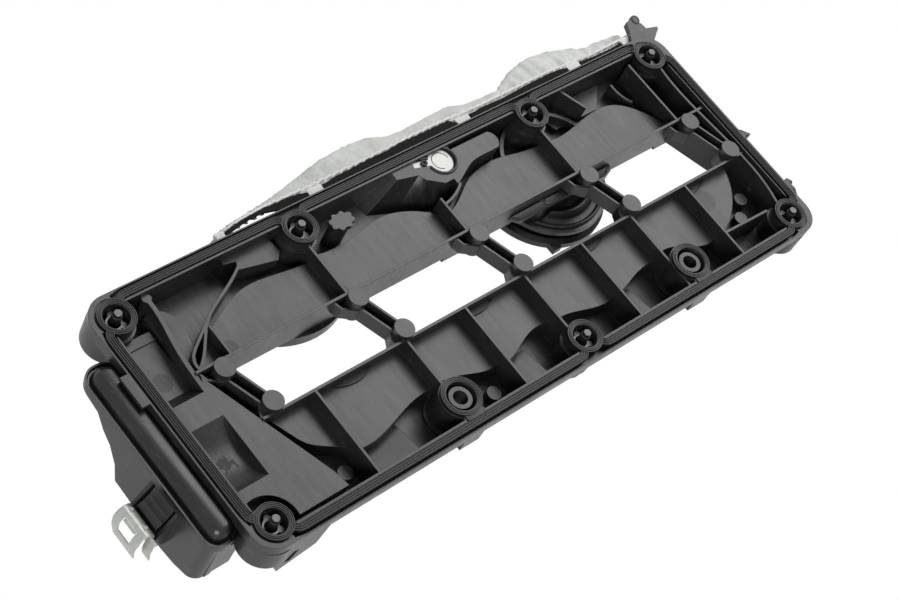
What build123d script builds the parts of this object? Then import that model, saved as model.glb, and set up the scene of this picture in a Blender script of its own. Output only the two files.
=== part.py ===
"""Underside view of a moulded engine valve cover, with its seal, fasteners and breather.

Millimetres. The origin is the centre of the gasket's sealing plane. +X runs along the
engine, +Z points from the sealing plane towards the cylinder head.
"""
from build123d import *
import math
import os

# ---------------------------------------------------------------- driving dimensions
CYLINDER_PITCH = 88.0
BOLT_HALF_SPAN_X = 197.0
BOLT_HALF_SPAN_Y = 63.7

# heights, measured from the sealing plane
SEAL_FACE_Z = 0.0
RAIL_TOP_Z = -1.2
RIB_TOP_Z = -3.0
PLATEAU_Z = -4.0
FLANGE_BOTTOM_Z = -8.0
FLOOR_Z = -12.0
LIP_Z = -18.0
DEEP_Z = -22.0
BODY_BOTTOM_Z = -24.4
WELL_BOTTOM_Z = -27.0
BOSS_BOTTOM_Z = -28.0
SKIN = 2.4
WALL = 1.6
RIB = 1.5

# plan outline of the flange, the body under it and the cavity inside it
FLANGE_LEFT, FLANGE_RIGHT = -211.0, 212.2
FLANGE_HALF_WIDTH = 77.4
FLANGE_CORNER_R = 13.8
CAVITY_LEFT, CAVITY_RIGHT = -202.7, 204.2
CAVITY_HALF_WIDTH = 69.2
CAVITY_CORNER_R = 6.0
BODY_MARGIN = 2.0

# seal
SEAL_LEFT, SEAL_RIGHT = -206.9, 208.1
SEAL_Y = 73.6
SEAL_WIDTH = 5.0
SEAL_DEPTH = 5.0
SEAL_RING_R = 10.5
SEAL_GAP = 0.5
RING_THICKNESS = 2.0
TUBE_RING_R = 11.6
SEAL_HOLE_R = 6.4
TUBE_SEAL_HOLE_R = 8.0
BRIDGE_Y = -70.0
BRIDGE_WIDTH = 11.0
BRIDGE_LENGTH = 6.0
RIDGE_PITCH = 1.3
RIDGE_GROOVE = 0.5
RIDGE_HALF_RUN_X = 184.0
RIDGE_HALF_RUN_Y = 51.0

# fasteners
BORE_R = 6.8
BOSS_TOP_R = 9.9
BOSS_R = 11.3
CORNER_BOSS_R = 14.0
BOSS_STEP_Z = -8.0
BOLT_R = 3.0
SHANK_R = 2.6
THREAD_START_Z = -4.6
BOLT_TIP_Z = 3.0
SLEEVE_R = 4.4
SLEEVE_BORE_R = 3.4
GROMMET_BOTTOM_Z = -27.4
GROMMET_TOP_Z = -17.0
HEAD_BOTTOM_Z = -32.9

BOLTS = [
    (-BOLT_HALF_SPAN_X, BOLT_HALF_SPAN_Y),
    (-79.4, BOLT_HALF_SPAN_Y),
    (95.1, BOLT_HALF_SPAN_Y),
    (BOLT_HALF_SPAN_X, BOLT_HALF_SPAN_Y),
    (-BOLT_HALF_SPAN_X, -BOLT_HALF_SPAN_Y),
    (19.5, -BOLT_HALF_SPAN_Y),
    (BOLT_HALF_SPAN_X, -BOLT_HALF_SPAN_Y),
]
CORNER_BOLTS = [BOLTS[0], BOLTS[3], BOLTS[4], BOLTS[6]]

# the seal's straight runs; each end bends into the ring round a corner bolt
SEAL_RUNS = [
    [(-192.5, 72.4), (-186.0, SEAL_Y), (186.0, SEAL_Y), (192.5, 72.4)],
    [(-192.5, -72.4), (-186.0, -SEAL_Y), (186.0, -SEAL_Y), (192.5, -72.4)],
    [(-205.6, 59.0), (SEAL_LEFT, 52.0), (SEAL_LEFT, -52.0), (-205.6, -59.0)],
    [(205.9, 59.0), (SEAL_RIGHT, 52.0), (SEAL_RIGHT, -52.0), (205.9, -59.0)],
]

# guide tubes beside the lower rail
TUBES = [(-67.8, -57.7), (113.0, -57.7)]
TUBE_R = 12.0
TUBE_COLLAR_R = 13.8
TUBE_COLLAR_Z = -19.5
TUBE_BORE_R = 8.2
TUBE_POCKET_Z = -10.0
TUBE_CORE_R = 6.6
TUBE_CORE_TOP_Z = -1.8
TUBE_HOLE_R = 4.1

# posts in skewed pairs, one pair at each cylinder boundary
POST_R = 5.7
POST_TOP_Z = 0.0
POST_UPPER_Y = 15.0
POST_LOWER_Y = -11.7
POST_SKEW = 9.9
POST_FIRST_X = -166.6
POST_COUNT = 5
POSTS_X = [POST_FIRST_X + CYLINDER_PITCH * i for i in range(POST_COUNT)]
ARM_WIDTH = 8.2
ARM_WALL = 1.3
ARM_BOTTOM_Z = -12.6
ARM_FLOOR_Z = -11.0

# middle walls, either side of the injector openings
UPPER_WALL_Y = 19.5
LOWER_WALL_Y = -17.2
WALL_LEFT = -180.0


# ---------------------------------------------------------------- cover moulding
UPPER_FLOOR_Y = UPPER_WALL_Y + WALL
LOWER_FLOOR_Y = LOWER_WALL_Y

# outer edges of the raised floors in the upper bank, from left to right
UPPER_BAYS = [
    [(-179.0, 61.5), (-168.1, 60.0), (-164.4, 54.0), (-164.0, 46.0), (-167.5, 34.0), (-172.0, 25.5)],
    [(-172.1, 24.4), (-164.4, 32.8), (-157.5, 38.0)],
    [(-157.5, 38.0), (-143.0, 45.0), (-123.0, 52.0), (-103.0, 51.0), (-80.8, 48.5)],
    [(-80.8, 52.0), (-69.0, 49.4), (-53.0, 49.4), (-38.6, 51.6), (-26.7, 53.0), (-13.7, 50.6), (6.3, 38.0)],
    [(6.3, 37.5), (14.0, 38.0), (22.0, 41.2), (36.7, 49.4), (48.0, 52.6), (60.0, 53.4), (78.2, 50.5), (94.0, 49.0)],
    [(94.0, 50.4), (127.0, 50.0), (147.0, 52.4), (157.0, 51.0), (172.0, 39.0), (181.0, 24.0)],
]
# outer edges of the raised floors in the lower bank, from left to right
LOWER_BAYS = [
    [(-158.0, -18.0), (-154.0, -27.0), (-150.0, -35.0), (-143.0, -41.0), (-132.5, -48.0)],
    [(-132.5, -50.5), (-115.0, -51.5), (-97.0, -47.0), (-88.0, -44.6), (-70.5, -43.6)],
    [(-70.5, -44.0), (-53.0, -44.5), (-40.0, -49.0), (-28.0, -50.0)],
    [(-28.0, -51.5), (-18.0, -50.5), (-6.0, -46.0), (16.5, -44.6)],
    [(16.5, -46.0), (33.0, -46.0), (48.0, -50.0), (62.0, -50.0)],
    [(62.0, -50.5), (74.0, -48.5), (85.0, -45.4), (103.0, -44.6)],
    [(103.0, -44.6), (125.0, -44.6), (138.0, -50.6), (150.2, -50.0)],
    [(150.2, -51.0), (167.0, -46.0), (184.0, -32.0), (192.0, -18.0)],
]
UPPER_RIBS = [(-157.5, 38.0), (-80.8, 54.0), (6.3, 43.0), (94.0, 54.0), (181.0, 64.5)]
RAIL_RAMPS = [(-131.8, -98.0), (-27.2, -4.0), (62.8, 80.0)]
RAMP_PROFILE = [(-48.0, DEEP_Z), (-48.0, -19.0), (-CAVITY_HALF_WIDTH, -14.0), (-CAVITY_HALF_WIDTH, DEEP_Z)]
STANDOFFS = [(-140.0, -57.0), (-39.0, -61.0), (190.0, -37.0), (180.0, -47.0)]
STANDOFF_R = 4.2
STANDOFF_HEIGHT = 6.0
LOWER_RIBS = [-132.5, -70.5, -28.0, 16.5, 62.0, 103.0, 150.2]

# relief of the outer skin under the raised floors, so that the moulding keeps an even wall
UPPER_RELIEF = [(-155.0, 36.0), (-123.0, 48.0), (-81.0, 46.0), (-30.0, 46.0), (10.0, 36.5),
                (52.0, 49.0), (94.0, 46.5), (147.0, 48.5), (176.0, 28.0)]
LOWER_RELIEF = [(-150.0, -24.0), (-133.0, -43.0), (-90.0, -41.0), (-28.0, -41.5),
                (16.0, -41.5), (103.0, -41.0), (130.0, -41.5), (160.0, -43.0), (186.0, -24.0)]

PLATEAU_ARC_R = 15.5
PLATEAU = [(-203.5, 10.3), (-181.0, 10.3), (-178.5, 18.0), (-152.0, -57.0), (-150.2, -66.4),
           (-203.5, -66.4)]
# profiles across the left end, in Y and Z
TROUGH = [(-4.7, PLATEAU_Z), (-20.0, -10.0), (-29.0, -10.0), (-41.6, PLATEAU_Z)]
TROUGH_LENGTH = 21.0
END_RECESS = [(10.0, DEEP_Z), (10.0, PLATEAU_Z), (17.5, -13.0), (48.5, -13.0), (48.5, -12.2), (54.0, -12.2),
              (54.0, DEEP_Z)]
LEFT_WALL = [(-175.6, 67.0), (-176.0, 55.0), (-179.0, 38.0), (-180.6, 22.0), (-181.0, 9.0)]
LEFT_WALL_WIDTH = 2.6
LEFT_WALL_END_R = 2.7
GUIDE_VANE = [(-176.4, 21.2), (-176.0, 26.6), (-167.5, 34.4), (-150.5, 45.6), (-132.8, 54.3), (-119.5, 62.4)]
# return leg of the vane, which closes it to a narrow loop at its lower end
VANE_RETURN = [(-176.4, 21.2), (-172.1, 24.4), (-164.4, 32.8), (-153.0, 43.8)]

TOWER_FOOT = [(-27.0, 71.0), (-26.0, 61.3), (-10.0, 55.4), (6.0, 48.5), (16.0, 44.6), (26.0, 46.0), (26.0, 71.0)]
TOWER_TOP = [(-9.0, 71.0), (-9.1, 64.1), (4.6, 60.9), (6.4, 56.7), (15.6, 50.0), (26.0, 50.2), (26.0, 71.0)]
TOWER_RIGHT = [(22.0, 46.5), (30.0, 50.0), (40.0, 54.3), (50.0, 55.2), (61.0, 55.2)]
VALVE_X, VALVE_Y = 23.5, 63.4
VALVE_SEAT_R = 8.3
VALVE_SEAT_DEPTH = 1.4
VALVE_PORT_R = 4.4
REED_ANGLE = 165.8
REED_SCREW_REACH = 10.9
REED_TAB_REACH = 17.6
REED_TAB_WIDTH = 3.6
SCREW_R = 1.1
SCREW_BITE = 6.0
screw_x = VALVE_X + REED_SCREW_REACH * math.cos(math.radians(REED_ANGLE))
screw_y = VALVE_Y + REED_SCREW_REACH * math.sin(math.radians(REED_ANGLE))
TOWER_TOP_Z = -2.6
# post with a lobed head beside the tower
STAR_X, STAR_Y = -54.3, 57.5
STAR_LENGTH, STAR_HALF_WIDTH = 7.0, 4.6
STAR_HEAD = 2.4
STAR_LOBES = 8
LOBE_R = 1.6

BREATHER_X, BREATHER_Y = 97.0, 37.0
BREATHER_R = 40.0
BREATHER_NECK_R = 34.0
BREATHER_PLATE_Z = -33.0
BREATHER_NECK_Z = -30.0
DOME_X, DOME_Y, DOME_R = -93.6, 65.0, 48.0
DOME_BOTTOM_Z = -32.0

# end housing: a closed chamber outside the left wall
HOUSING_LEFT, HOUSING_RIGHT = -227.6, -207.0
HOUSING_TOP_Y, HOUSING_BOTTOM_Y = 50.4, -60.0
HOUSING_FLANGE_TOP_Z = -12.5
HOUSING_FLANGE = 2.5
HOUSING_CORNER_R = 10.2
HOUSING_BODY_X = HOUSING_LEFT + 2.0
HOUSING_BODY_R = 6.0
HOUSING_PROFILE = [(46.0, -14.0), (42.0, -19.0), (32.0, -20.5), (25.0, -27.0), (18.0, -31.0),
                   (11.0, -39.0), (7.0, -49.0), (-4.0, -49.5), (-32.0, -53.5), (-43.0, -52.0),
                   (-57.0, -47.5), (-57.5, -14.0)]

# arched apron under the front corner, and the block beside the corner boss: X and Z
APRON_FRONT = [(-219.6, -14.0), (-219.6, -47.5), (-216.0, -47.5)]
APRON_ARCH = (-209.0, -34.5)
APRON_BACK = [(-196.0, -30.0), (-190.0, -32.0), (-190.0, -14.0)]
APRON_DEPTH = 10.0
CORNER_BLOCK_Y = -77.0
CORNER_BLOCK_DEPTH = 10.0
CORNER_BLOCK = [(-199.0, FLANGE_BOTTOM_Z), (-199.0, -24.0), (-194.5, -33.0), (-171.5, -26.0),
                (-168.0, FLANGE_BOTTOM_Z)]

# straight-sided blocks of the moulding: plan outline, lower height, upper height
VANE_BLOCK = [(-121.0, 61.0), (-97.0, 56.0), (-93.0, 60.0), (-94.0, 70.0), (-124.0, 70.0),
              (-126.0, 67.0), (-118.0, 65.5)]
RAIL_STEP_LEFT = [(117.0, 55.0), (131.0, 55.0), (132.0, 66.0), (122.0, 69.0), (112.0, 69.0)]
RAIL_STEP_RIGHT = [(139.0, 55.0), (152.0, 55.0), (166.0, 69.0), (139.0, 69.0)]
LID_TAB = [(-215.5, 16.5), (-208.0, 16.5), (-208.0, 35.3), (-215.5, 35.3)]
HARNESS_HOOK = [(195.0, 76.0), (200.5, 84.0), (203.5, 90.5), (212.0, 91.5), (212.5, 89.5), (208.5, 87.5),
                (212.5, 86.0), (213.0, 81.5), (221.0, 79.5), (220.5, 78.0), (211.0, 72.0)]
EDGE_HOOK_UPPER = [(211.0, -3.0), (216.0, -8.5), (211.0, -10.5)]
EDGE_HOOK_LOWER = [(211.0, -45.0), (215.0, -47.5), (210.5, -53.0)]
BRACKET_RAMP = [(-225.0, -15.0), (-227.6, -15.0), (-229.4, -20.5), (-231.8, -24.4), (-235.0, -27.0),
                (-235.0, -42.0), (-225.0, -46.0)]
BRACKET_GUSSET = [(-225.0, -15.0), (-227.5, -15.0), (-236.5, -32.0), (-236.5, -40.0), (-225.0, -44.0)]
# profile, front face and width of each piece of the bracket
CLIP_BRACKET = [(BRACKET_RAMP, -31.0, 15.0), (BRACKET_GUSSET, -34.2, 1.8), (BRACKET_GUSSET, -14.4, 1.8)]
BLOCKS = [
    (VANE_BLOCK, DEEP_Z, -9.0),
    (RAIL_STEP_LEFT, DEEP_Z, -18.0),
    (RAIL_STEP_RIGHT, DEEP_Z, -18.0),
    (LID_TAB, -3.4, RAIL_TOP_Z),
    (HARNESS_HOOK, -7.0, -3.0),
    (EDGE_HOOK_UPPER, FLANGE_BOTTOM_Z, -5.0),
    (EDGE_HOOK_LOWER, FLANGE_BOTTOM_Z, -5.0),
]
# thin curved walls that stand on the deep floor: plan route, upper height and thickness
CURVED_WALLS = [
    (LEFT_WALL, PLATEAU_Z, LEFT_WALL_WIDTH),
    (GUIDE_VANE, PLATEAU_Z, WALL),
    (VANE_RETURN, PLATEAU_Z, WALL),
    ([(6.3, 39.5), (15.0, 41.5), (24.0, 46.5)], RIB_TOP_Z, WALL),
    ([(200.0, 57.0), (200.6, 0.0), (200.4, -41.0), (197.5, -53.0)], RIB_TOP_Z, WALL),
    ([(169.0, 63.0), (169.6, 54.0), (173.0, 47.0)], -13.0, WALL),
]
# thin straight walls, given in the same way
STRAIGHT_WALLS = [
    ([(150.2, -53.2), (187.0, -54.4)], RIB_TOP_Z),
    ([(126.0, 70.0), (133.0, 53.0)], PLATEAU_Z),
    ([(POSTS_X[-1], 20.3), (200.4, 20.3)], RIB_TOP_Z),
]

with BuildPart() as cover_moulding:
    # body under the flange
    with BuildSketch(Plane.XY.offset(BODY_BOTTOM_Z)):
        with BuildLine():
            Polyline(
                (CAVITY_LEFT - BODY_MARGIN, -CAVITY_HALF_WIDTH - BODY_MARGIN),
                (CAVITY_RIGHT + BODY_MARGIN, -CAVITY_HALF_WIDTH - BODY_MARGIN),
                (CAVITY_RIGHT + BODY_MARGIN, CAVITY_HALF_WIDTH + BODY_MARGIN),
                (CAVITY_LEFT - BODY_MARGIN, CAVITY_HALF_WIDTH + BODY_MARGIN),
                close=True,
            )
        body_face = make_face()
        fillet(body_face.vertices(), CAVITY_CORNER_R + BODY_MARGIN)
    extrude(amount=FLANGE_BOTTOM_Z - BODY_BOTTOM_Z)
    # flange with rounded corners
    with BuildSketch(Plane.XY.offset(FLANGE_BOTTOM_Z)):
        with Locations(((FLANGE_LEFT + FLANGE_RIGHT) / 2, 0)):
            RectangleRounded(FLANGE_RIGHT - FLANGE_LEFT, 2 * FLANGE_HALF_WIDTH, FLANGE_CORNER_R)
    extrude(amount=RAIL_TOP_Z - FLANGE_BOTTOM_Z)
    # outer cylinders of the fastener bosses
    with BuildSketch(Plane.XY.offset(DEEP_Z)):
        with Locations(*CORNER_BOLTS):
            Circle(CORNER_BOSS_R)
    extrude(amount=FLANGE_BOTTOM_Z - DEEP_Z)
    # main cavity
    with BuildSketch(Plane.XY.offset(DEEP_Z)):
        with Locations(((CAVITY_LEFT + CAVITY_RIGHT) / 2, 0)):
            RectangleRounded(CAVITY_RIGHT - CAVITY_LEFT, 2 * CAVITY_HALF_WIDTH, CAVITY_CORNER_R)
    extrude(amount=-DEEP_Z, mode=Mode.SUBTRACT)
    # injector openings, cut right through between the middle walls
    with BuildSketch(Plane.XY.offset(DOME_BOTTOM_Z)):
        with BuildLine():
            Polyline(
                (POSTS_X[0], UPPER_FLOOR_Y),
                (POSTS_X[-1], UPPER_FLOOR_Y),
                (POSTS_X[-1] + POST_SKEW, LOWER_WALL_Y),
                (POSTS_X[0] + POST_SKEW, LOWER_WALL_Y),
                close=True,
            )
        make_face()
    extrude(amount=-DOME_BOTTOM_Z, mode=Mode.SUBTRACT)
    # round separator chamber on the outer side, kept inside the body's outline
    with BuildSketch(Plane.XY.offset(DOME_BOTTOM_Z)):
        with Locations((DOME_X, DOME_Y)):
            Circle(DOME_R)
        with Locations((DOME_X, CAVITY_HALF_WIDTH + BODY_MARGIN + DOME_R)):
            Rectangle(2 * DOME_R, 2 * DOME_R, mode=Mode.SUBTRACT)
    extrude(amount=BODY_BOTTOM_Z - DOME_BOTTOM_Z)
    # raised floors of both banks
    with BuildSketch(Plane.XY.offset(DEEP_Z - SKIN / 2)):
        for wall_y, edges in ((UPPER_WALL_Y, UPPER_BAYS), (LOWER_WALL_Y + WALL, LOWER_BAYS)):
            for edge in edges:
                with BuildLine():
                    Spline(*edge)
                    Polyline(edge[-1], (edge[-1][0], wall_y), (edge[0][0], wall_y), edge[0])
                make_face()
    extrude(amount=FLOOR_Z - DEEP_Z + SKIN / 2)
    # skin relief under the raised floors
    with BuildSketch(Plane.XY.offset(BODY_BOTTOM_Z)):
        for wall_y, edge in ((UPPER_FLOOR_Y, UPPER_RELIEF), (LOWER_WALL_Y, LOWER_RELIEF)):
            with BuildLine():
                Spline(*edge)
                Polyline(edge[-1], (edge[-1][0], wall_y), (edge[0][0], wall_y), edge[0])
            make_face()
    extrude(amount=FLOOR_Z - SKIN - BODY_BOTTOM_Z, mode=Mode.SUBTRACT)
    # middle walls; their lower edges arch up between the posts
    for wall_y, left_x in ((UPPER_WALL_Y, WALL_LEFT), (LOWER_WALL_Y, -166.0)):
        with BuildSketch(Plane.XZ.offset(-wall_y)):
            with BuildLine():
                Polyline(
                    (left_x, RIB_TOP_Z),
                    (CAVITY_RIGHT, RIB_TOP_Z),
                    (CAVITY_RIGHT, BODY_BOTTOM_Z),
                    (POSTS_X[-1], WELL_BOTTOM_Z),
                    (POSTS_X[0], WELL_BOTTOM_Z),
                    (left_x, BODY_BOTTOM_Z),
                    close=True,
                )
            make_face()
            for post_x in POSTS_X[:-1]:
                with Locations((post_x + CYLINDER_PITCH / 2 + 3.0, LIP_Z - 12.0)):
                    RectangleRounded(CYLINDER_PITCH - 30.0, 24.0, 8.0, mode=Mode.SUBTRACT)
        extrude(amount=-WALL)

    # plateau at the left end, with a clearance arc round the corner boss
    with BuildSketch(Plane.XY.offset(DEEP_Z - SKIN / 2)):
        with BuildLine():
            Polyline(*PLATEAU, close=True)
        make_face()
        with Locations(BOLTS[4]):
            Circle(PLATEAU_ARC_R, mode=Mode.SUBTRACT)
    extrude(amount=PLATEAU_Z - DEEP_Z + SKIN / 2)
    # trough across the plateau, deepest in the middle
    with BuildSketch(Plane.YZ.offset(CAVITY_LEFT)):
        with BuildLine():
            Spline(*TROUGH)
            Polyline(TROUGH[-1], (TROUGH[-1][0], SEAL_FACE_Z), (TROUGH[0][0], SEAL_FACE_Z), TROUGH[0])
        make_face()
    extrude(amount=TROUGH_LENGTH, mode=Mode.SUBTRACT)
    # recess floor above the cross pad, ramped up to it
    with BuildSketch(Plane.YZ.offset(CAVITY_LEFT)):
        with BuildLine():
            Polyline(*END_RECESS, close=True)
        make_face()
    extrude(amount=LEFT_WALL[-1][0] - CAVITY_LEFT)
    # blocks, tab and hooks
    for outline, block_bottom, block_top in BLOCKS:
        with BuildSketch(Plane.XY.offset(block_bottom)):
            with BuildLine():
                Polyline(*outline, close=True)
            make_face()
        extrude(amount=block_top - block_bottom)
    for route, wall_top, wall_width in CURVED_WALLS:
        with BuildSketch(Plane.XY.offset(DEEP_Z)):
            with BuildLine() as wall_line:
                Spline(*route)
            trace(wall_line.line, line_width=wall_width)
        extrude(amount=wall_top - DEEP_Z)
    # rounded end of the left wall
    with BuildSketch(Plane.XY.offset(DEEP_Z)):
        with Locations(LEFT_WALL[0]):
            Circle(LEFT_WALL_END_R)
    extrude(amount=PLATEAU_Z - DEEP_Z)
    for route, wall_top in STRAIGHT_WALLS:
        with BuildSketch(Plane.XY.offset(DEEP_Z)):
            with BuildLine() as wall_line:
                Polyline(*route)
            trace(wall_line.line, line_width=RIB)
        extrude(amount=wall_top - DEEP_Z)
    # cross ribs of both banks
    for rib_x, rib_top_y in UPPER_RIBS:
        with Locations((rib_x, (UPPER_FLOOR_Y + rib_top_y) / 2, (RIB_TOP_Z + DEEP_Z) / 2)):
            Box(RIB, rib_top_y - UPPER_FLOOR_Y + RIB, RIB_TOP_Z - DEEP_Z)
    for rib_x in LOWER_RIBS:
        with Locations((rib_x, (LOWER_WALL_Y - CAVITY_HALF_WIDTH) / 2, (RIB_TOP_Z + DEEP_Z) / 2)):
            Box(RIB, CAVITY_HALF_WIDTH + LOWER_WALL_Y + RIB, RIB_TOP_Z - DEEP_Z)
    # ramps from the deep floor up to the lower rail
    for ramp_left, ramp_right in RAIL_RAMPS:
        with BuildSketch(Plane.YZ.offset(ramp_left)):
            with BuildLine():
                Polyline(*RAMP_PROFILE, close=True)
            make_face()
        extrude(amount=ramp_right - ramp_left)
    # small round stand-offs on the deep floor
    with BuildSketch(Plane.XY.offset(DEEP_Z)):
        with Locations(*STANDOFFS):
            Circle(STANDOFF_R)
    extrude(amount=STANDOFF_HEIGHT)

    # valve tower: sloping front and left end, curved right wall
    for outline, outline_z in ((TOWER_FOOT, DEEP_Z), (TOWER_TOP, TOWER_TOP_Z)):
        with BuildSketch(Plane.XY.offset(outline_z)):
            with BuildLine():
                Polyline(*outline, close=True)
            make_face()
    loft(ruled=True)
    with BuildSketch(Plane.XY.offset(DEEP_Z)):
        with BuildLine():
            Spline(*TOWER_RIGHT)
            RadiusArc((61.0, 55.2), (62.0, 66.5), -6.5)
            Polyline((62.0, 66.5), (33.0, 66.5), (33.0, 71.0), (22.0, 71.0), TOWER_RIGHT[0])
        make_face()
    extrude(amount=TOWER_TOP_Z - DEEP_Z)
    # seat and port for the reed plate
    with BuildSketch(Plane.XY.offset(TOWER_TOP_Z)):
        with Locations((VALVE_X, VALVE_Y)):
            Circle(VALVE_SEAT_R)
        with Locations(Location((VALVE_X, VALVE_Y), REED_ANGLE)):
            with Locations((REED_TAB_REACH / 2, 0)):
                RectangleRounded(REED_TAB_REACH + 1.4, REED_TAB_WIDTH + 1.4, 0.8)
    extrude(amount=-VALVE_SEAT_DEPTH, mode=Mode.SUBTRACT)
    with Locations((VALVE_X, VALVE_Y, TOWER_TOP_Z - VALVE_SEAT_DEPTH)):
        Hole(VALVE_PORT_R, depth=9.0)
    with Locations((screw_x, screw_y, TOWER_TOP_Z - VALVE_SEAT_DEPTH)):
        Hole(SCREW_R + 0.05, depth=SCREW_BITE + 0.5)
    # post with a lobed head beside the tower
    with BuildSketch(Plane.XY.offset(DEEP_Z)):
        with Locations((STAR_X, STAR_Y)):
            Ellipse(STAR_LENGTH - LOBE_R / 4, STAR_HALF_WIDTH - LOBE_R / 8)
    extrude(amount=RIB_TOP_Z - DEEP_Z)
    with BuildSketch(Plane.XY.offset(RIB_TOP_Z - STAR_HEAD)):
        with Locations((STAR_X, STAR_Y)):
            Ellipse(STAR_LENGTH, STAR_HALF_WIDTH)
        for lobe in range(STAR_LOBES):
            lobe_angle = math.tau * (lobe + 0.5) / STAR_LOBES
            lobe_x = STAR_X + (STAR_LENGTH - LOBE_R / 3) * math.cos(lobe_angle)
            lobe_y = STAR_Y + (STAR_HALF_WIDTH - LOBE_R / 3) * math.sin(lobe_angle)
            with Locations((lobe_x, lobe_y)):
                Circle(LOBE_R)
    extrude(amount=STAR_HEAD)

    # boss, tube and post cylinders
    with BuildSketch(Plane.XY.offset(BOSS_BOTTOM_Z)):
        with Locations(*BOLTS):
            Circle(BOSS_TOP_R)
    extrude(amount=RAIL_TOP_Z - BOSS_BOTTOM_Z)
    with BuildSketch(Plane.XY.offset(DEEP_Z)):
        with Locations(*BOLTS):
            Circle(BOSS_R)
    extrude(amount=BOSS_STEP_Z - DEEP_Z)
    with BuildSketch(Plane.XY.offset(BODY_BOTTOM_Z)):
        with Locations(*TUBES):
            Circle(TUBE_R)
    extrude(amount=RAIL_TOP_Z - BODY_BOTTOM_Z)
    with BuildSketch(Plane.XY.offset(DEEP_Z)):
        with Locations(*TUBES):
            Circle(TUBE_COLLAR_R)
    extrude(amount=TUBE_COLLAR_Z - DEEP_Z)
    # short bridges that carry the seal from the rail to the tubes
    for tube_x, tube_y in TUBES:
        with Locations((tube_x, BRIDGE_Y, (RAIL_TOP_Z + DEEP_Z) / 2)):
            Box(BRIDGE_WIDTH + 3.0, 2 * BRIDGE_LENGTH, RAIL_TOP_Z - DEEP_Z)
    # box-shaped roots of the arms, open towards the head
    for post_x in POSTS_X:
        lower_x = post_x + POST_SKEW
        upper_root = [(post_x - 12.0, UPPER_WALL_Y + 0.5), (post_x - 10.5, 14.5), (post_x - 2.5, 9.0),
                      (post_x, UPPER_WALL_Y + 0.5)]
        lower_root = [(lower_x - 9.5, LOWER_WALL_Y + WALL - 0.5), (lower_x - 8.5, -13.0),
                      (lower_x - 5.0, -7.0), (lower_x, LOWER_WALL_Y + WALL - 0.5)]
        with BuildSketch(Plane.XY.offset(ARM_BOTTOM_Z)):
            for outline in (upper_root, lower_root):
                with BuildLine():
                    Polyline(*outline, close=True)
                make_face()
        extrude(amount=RIB_TOP_Z - 1.5 - ARM_BOTTOM_Z)
    # skewed arms between the posts
    arm_length = math.hypot(POST_SKEW, POST_UPPER_Y - POST_LOWER_Y)
    arm_angle = math.degrees(math.atan2(POST_LOWER_Y - POST_UPPER_Y, POST_SKEW))
    for post_x in POSTS_X:
        arm_middle = (post_x + POST_SKEW / 2, (POST_UPPER_Y + POST_LOWER_Y) / 2, RIB_TOP_Z)
        with BuildSketch(Plane.XY.offset(ARM_BOTTOM_Z)):
            with Locations(Location(arm_middle[:2], arm_angle)):
                Rectangle(arm_length, ARM_WIDTH)
        extrude(amount=RIB_TOP_Z - ARM_BOTTOM_Z)
        with BuildSketch(Plane.XY.offset(RIB_TOP_Z)):
            with Locations(Location(arm_middle[:2], arm_angle)):
                Rectangle(arm_length, ARM_WIDTH - 2 * ARM_WALL)
        extrude(amount=ARM_FLOOR_Z - RIB_TOP_Z, mode=Mode.SUBTRACT)
        # hollow of the upper root
        root_hollow = [(post_x - 10.6, UPPER_WALL_Y), (post_x - 9.4, 15.2), (post_x - 4.0, 12.0),
                       (post_x - 2.0, UPPER_WALL_Y)]
        with BuildSketch(Plane.XY.offset(RIB_TOP_Z)):
            with BuildLine():
                Polyline(*root_hollow, close=True)
            make_face()
        extrude(amount=ARM_FLOOR_Z - RIB_TOP_Z, mode=Mode.SUBTRACT)
    # the first and last arms close off the end pockets, so they reach down to the body's skin
    for post_x in (POSTS_X[0], POSTS_X[-1]):
        with BuildSketch(Plane.XY.offset(BODY_BOTTOM_Z)):
            with Locations(Location((post_x + POST_SKEW / 2, (POST_UPPER_Y + POST_LOWER_Y) / 2), arm_angle)):
                Rectangle(arm_length + 2 * POST_R, 2.2)
        extrude(amount=ARM_BOTTOM_Z - BODY_BOTTOM_Z)
    with BuildSketch(Plane.XY.offset(ARM_BOTTOM_Z - 2.0)):
        with Locations(*[(post_x, POST_UPPER_Y) for post_x in POSTS_X]):
            Circle(POST_R)
        with Locations(*[(post_x + POST_SKEW, POST_LOWER_Y) for post_x in POSTS_X]):
            Circle(POST_R)
    extrude(amount=POST_TOP_Z - ARM_BOTTOM_Z + 2.0)

    # breather neck on the outer side
    with BuildSketch(Plane.XY.offset(BREATHER_NECK_Z)):
        with Locations((BREATHER_X, BREATHER_Y)):
            Circle(BREATHER_NECK_R)
            Circle(BREATHER_NECK_R - SKIN, mode=Mode.SUBTRACT)
        with Locations((BREATHER_X, -BREATHER_R)):
            Rectangle(4 * BREATHER_R, 2 * (BREATHER_R + UPPER_WALL_Y - 4.0), mode=Mode.SUBTRACT)
    extrude(amount=FLOOR_Z - SKIN / 2 - BREATHER_NECK_Z)
    with BuildSketch(Plane.XY.offset(BREATHER_PLATE_Z)):
        with Locations((BREATHER_X, BREATHER_Y)):
            Circle(BREATHER_R - 1.0)
    extrude(amount=BREATHER_NECK_Z - BREATHER_PLATE_Z)

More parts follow.
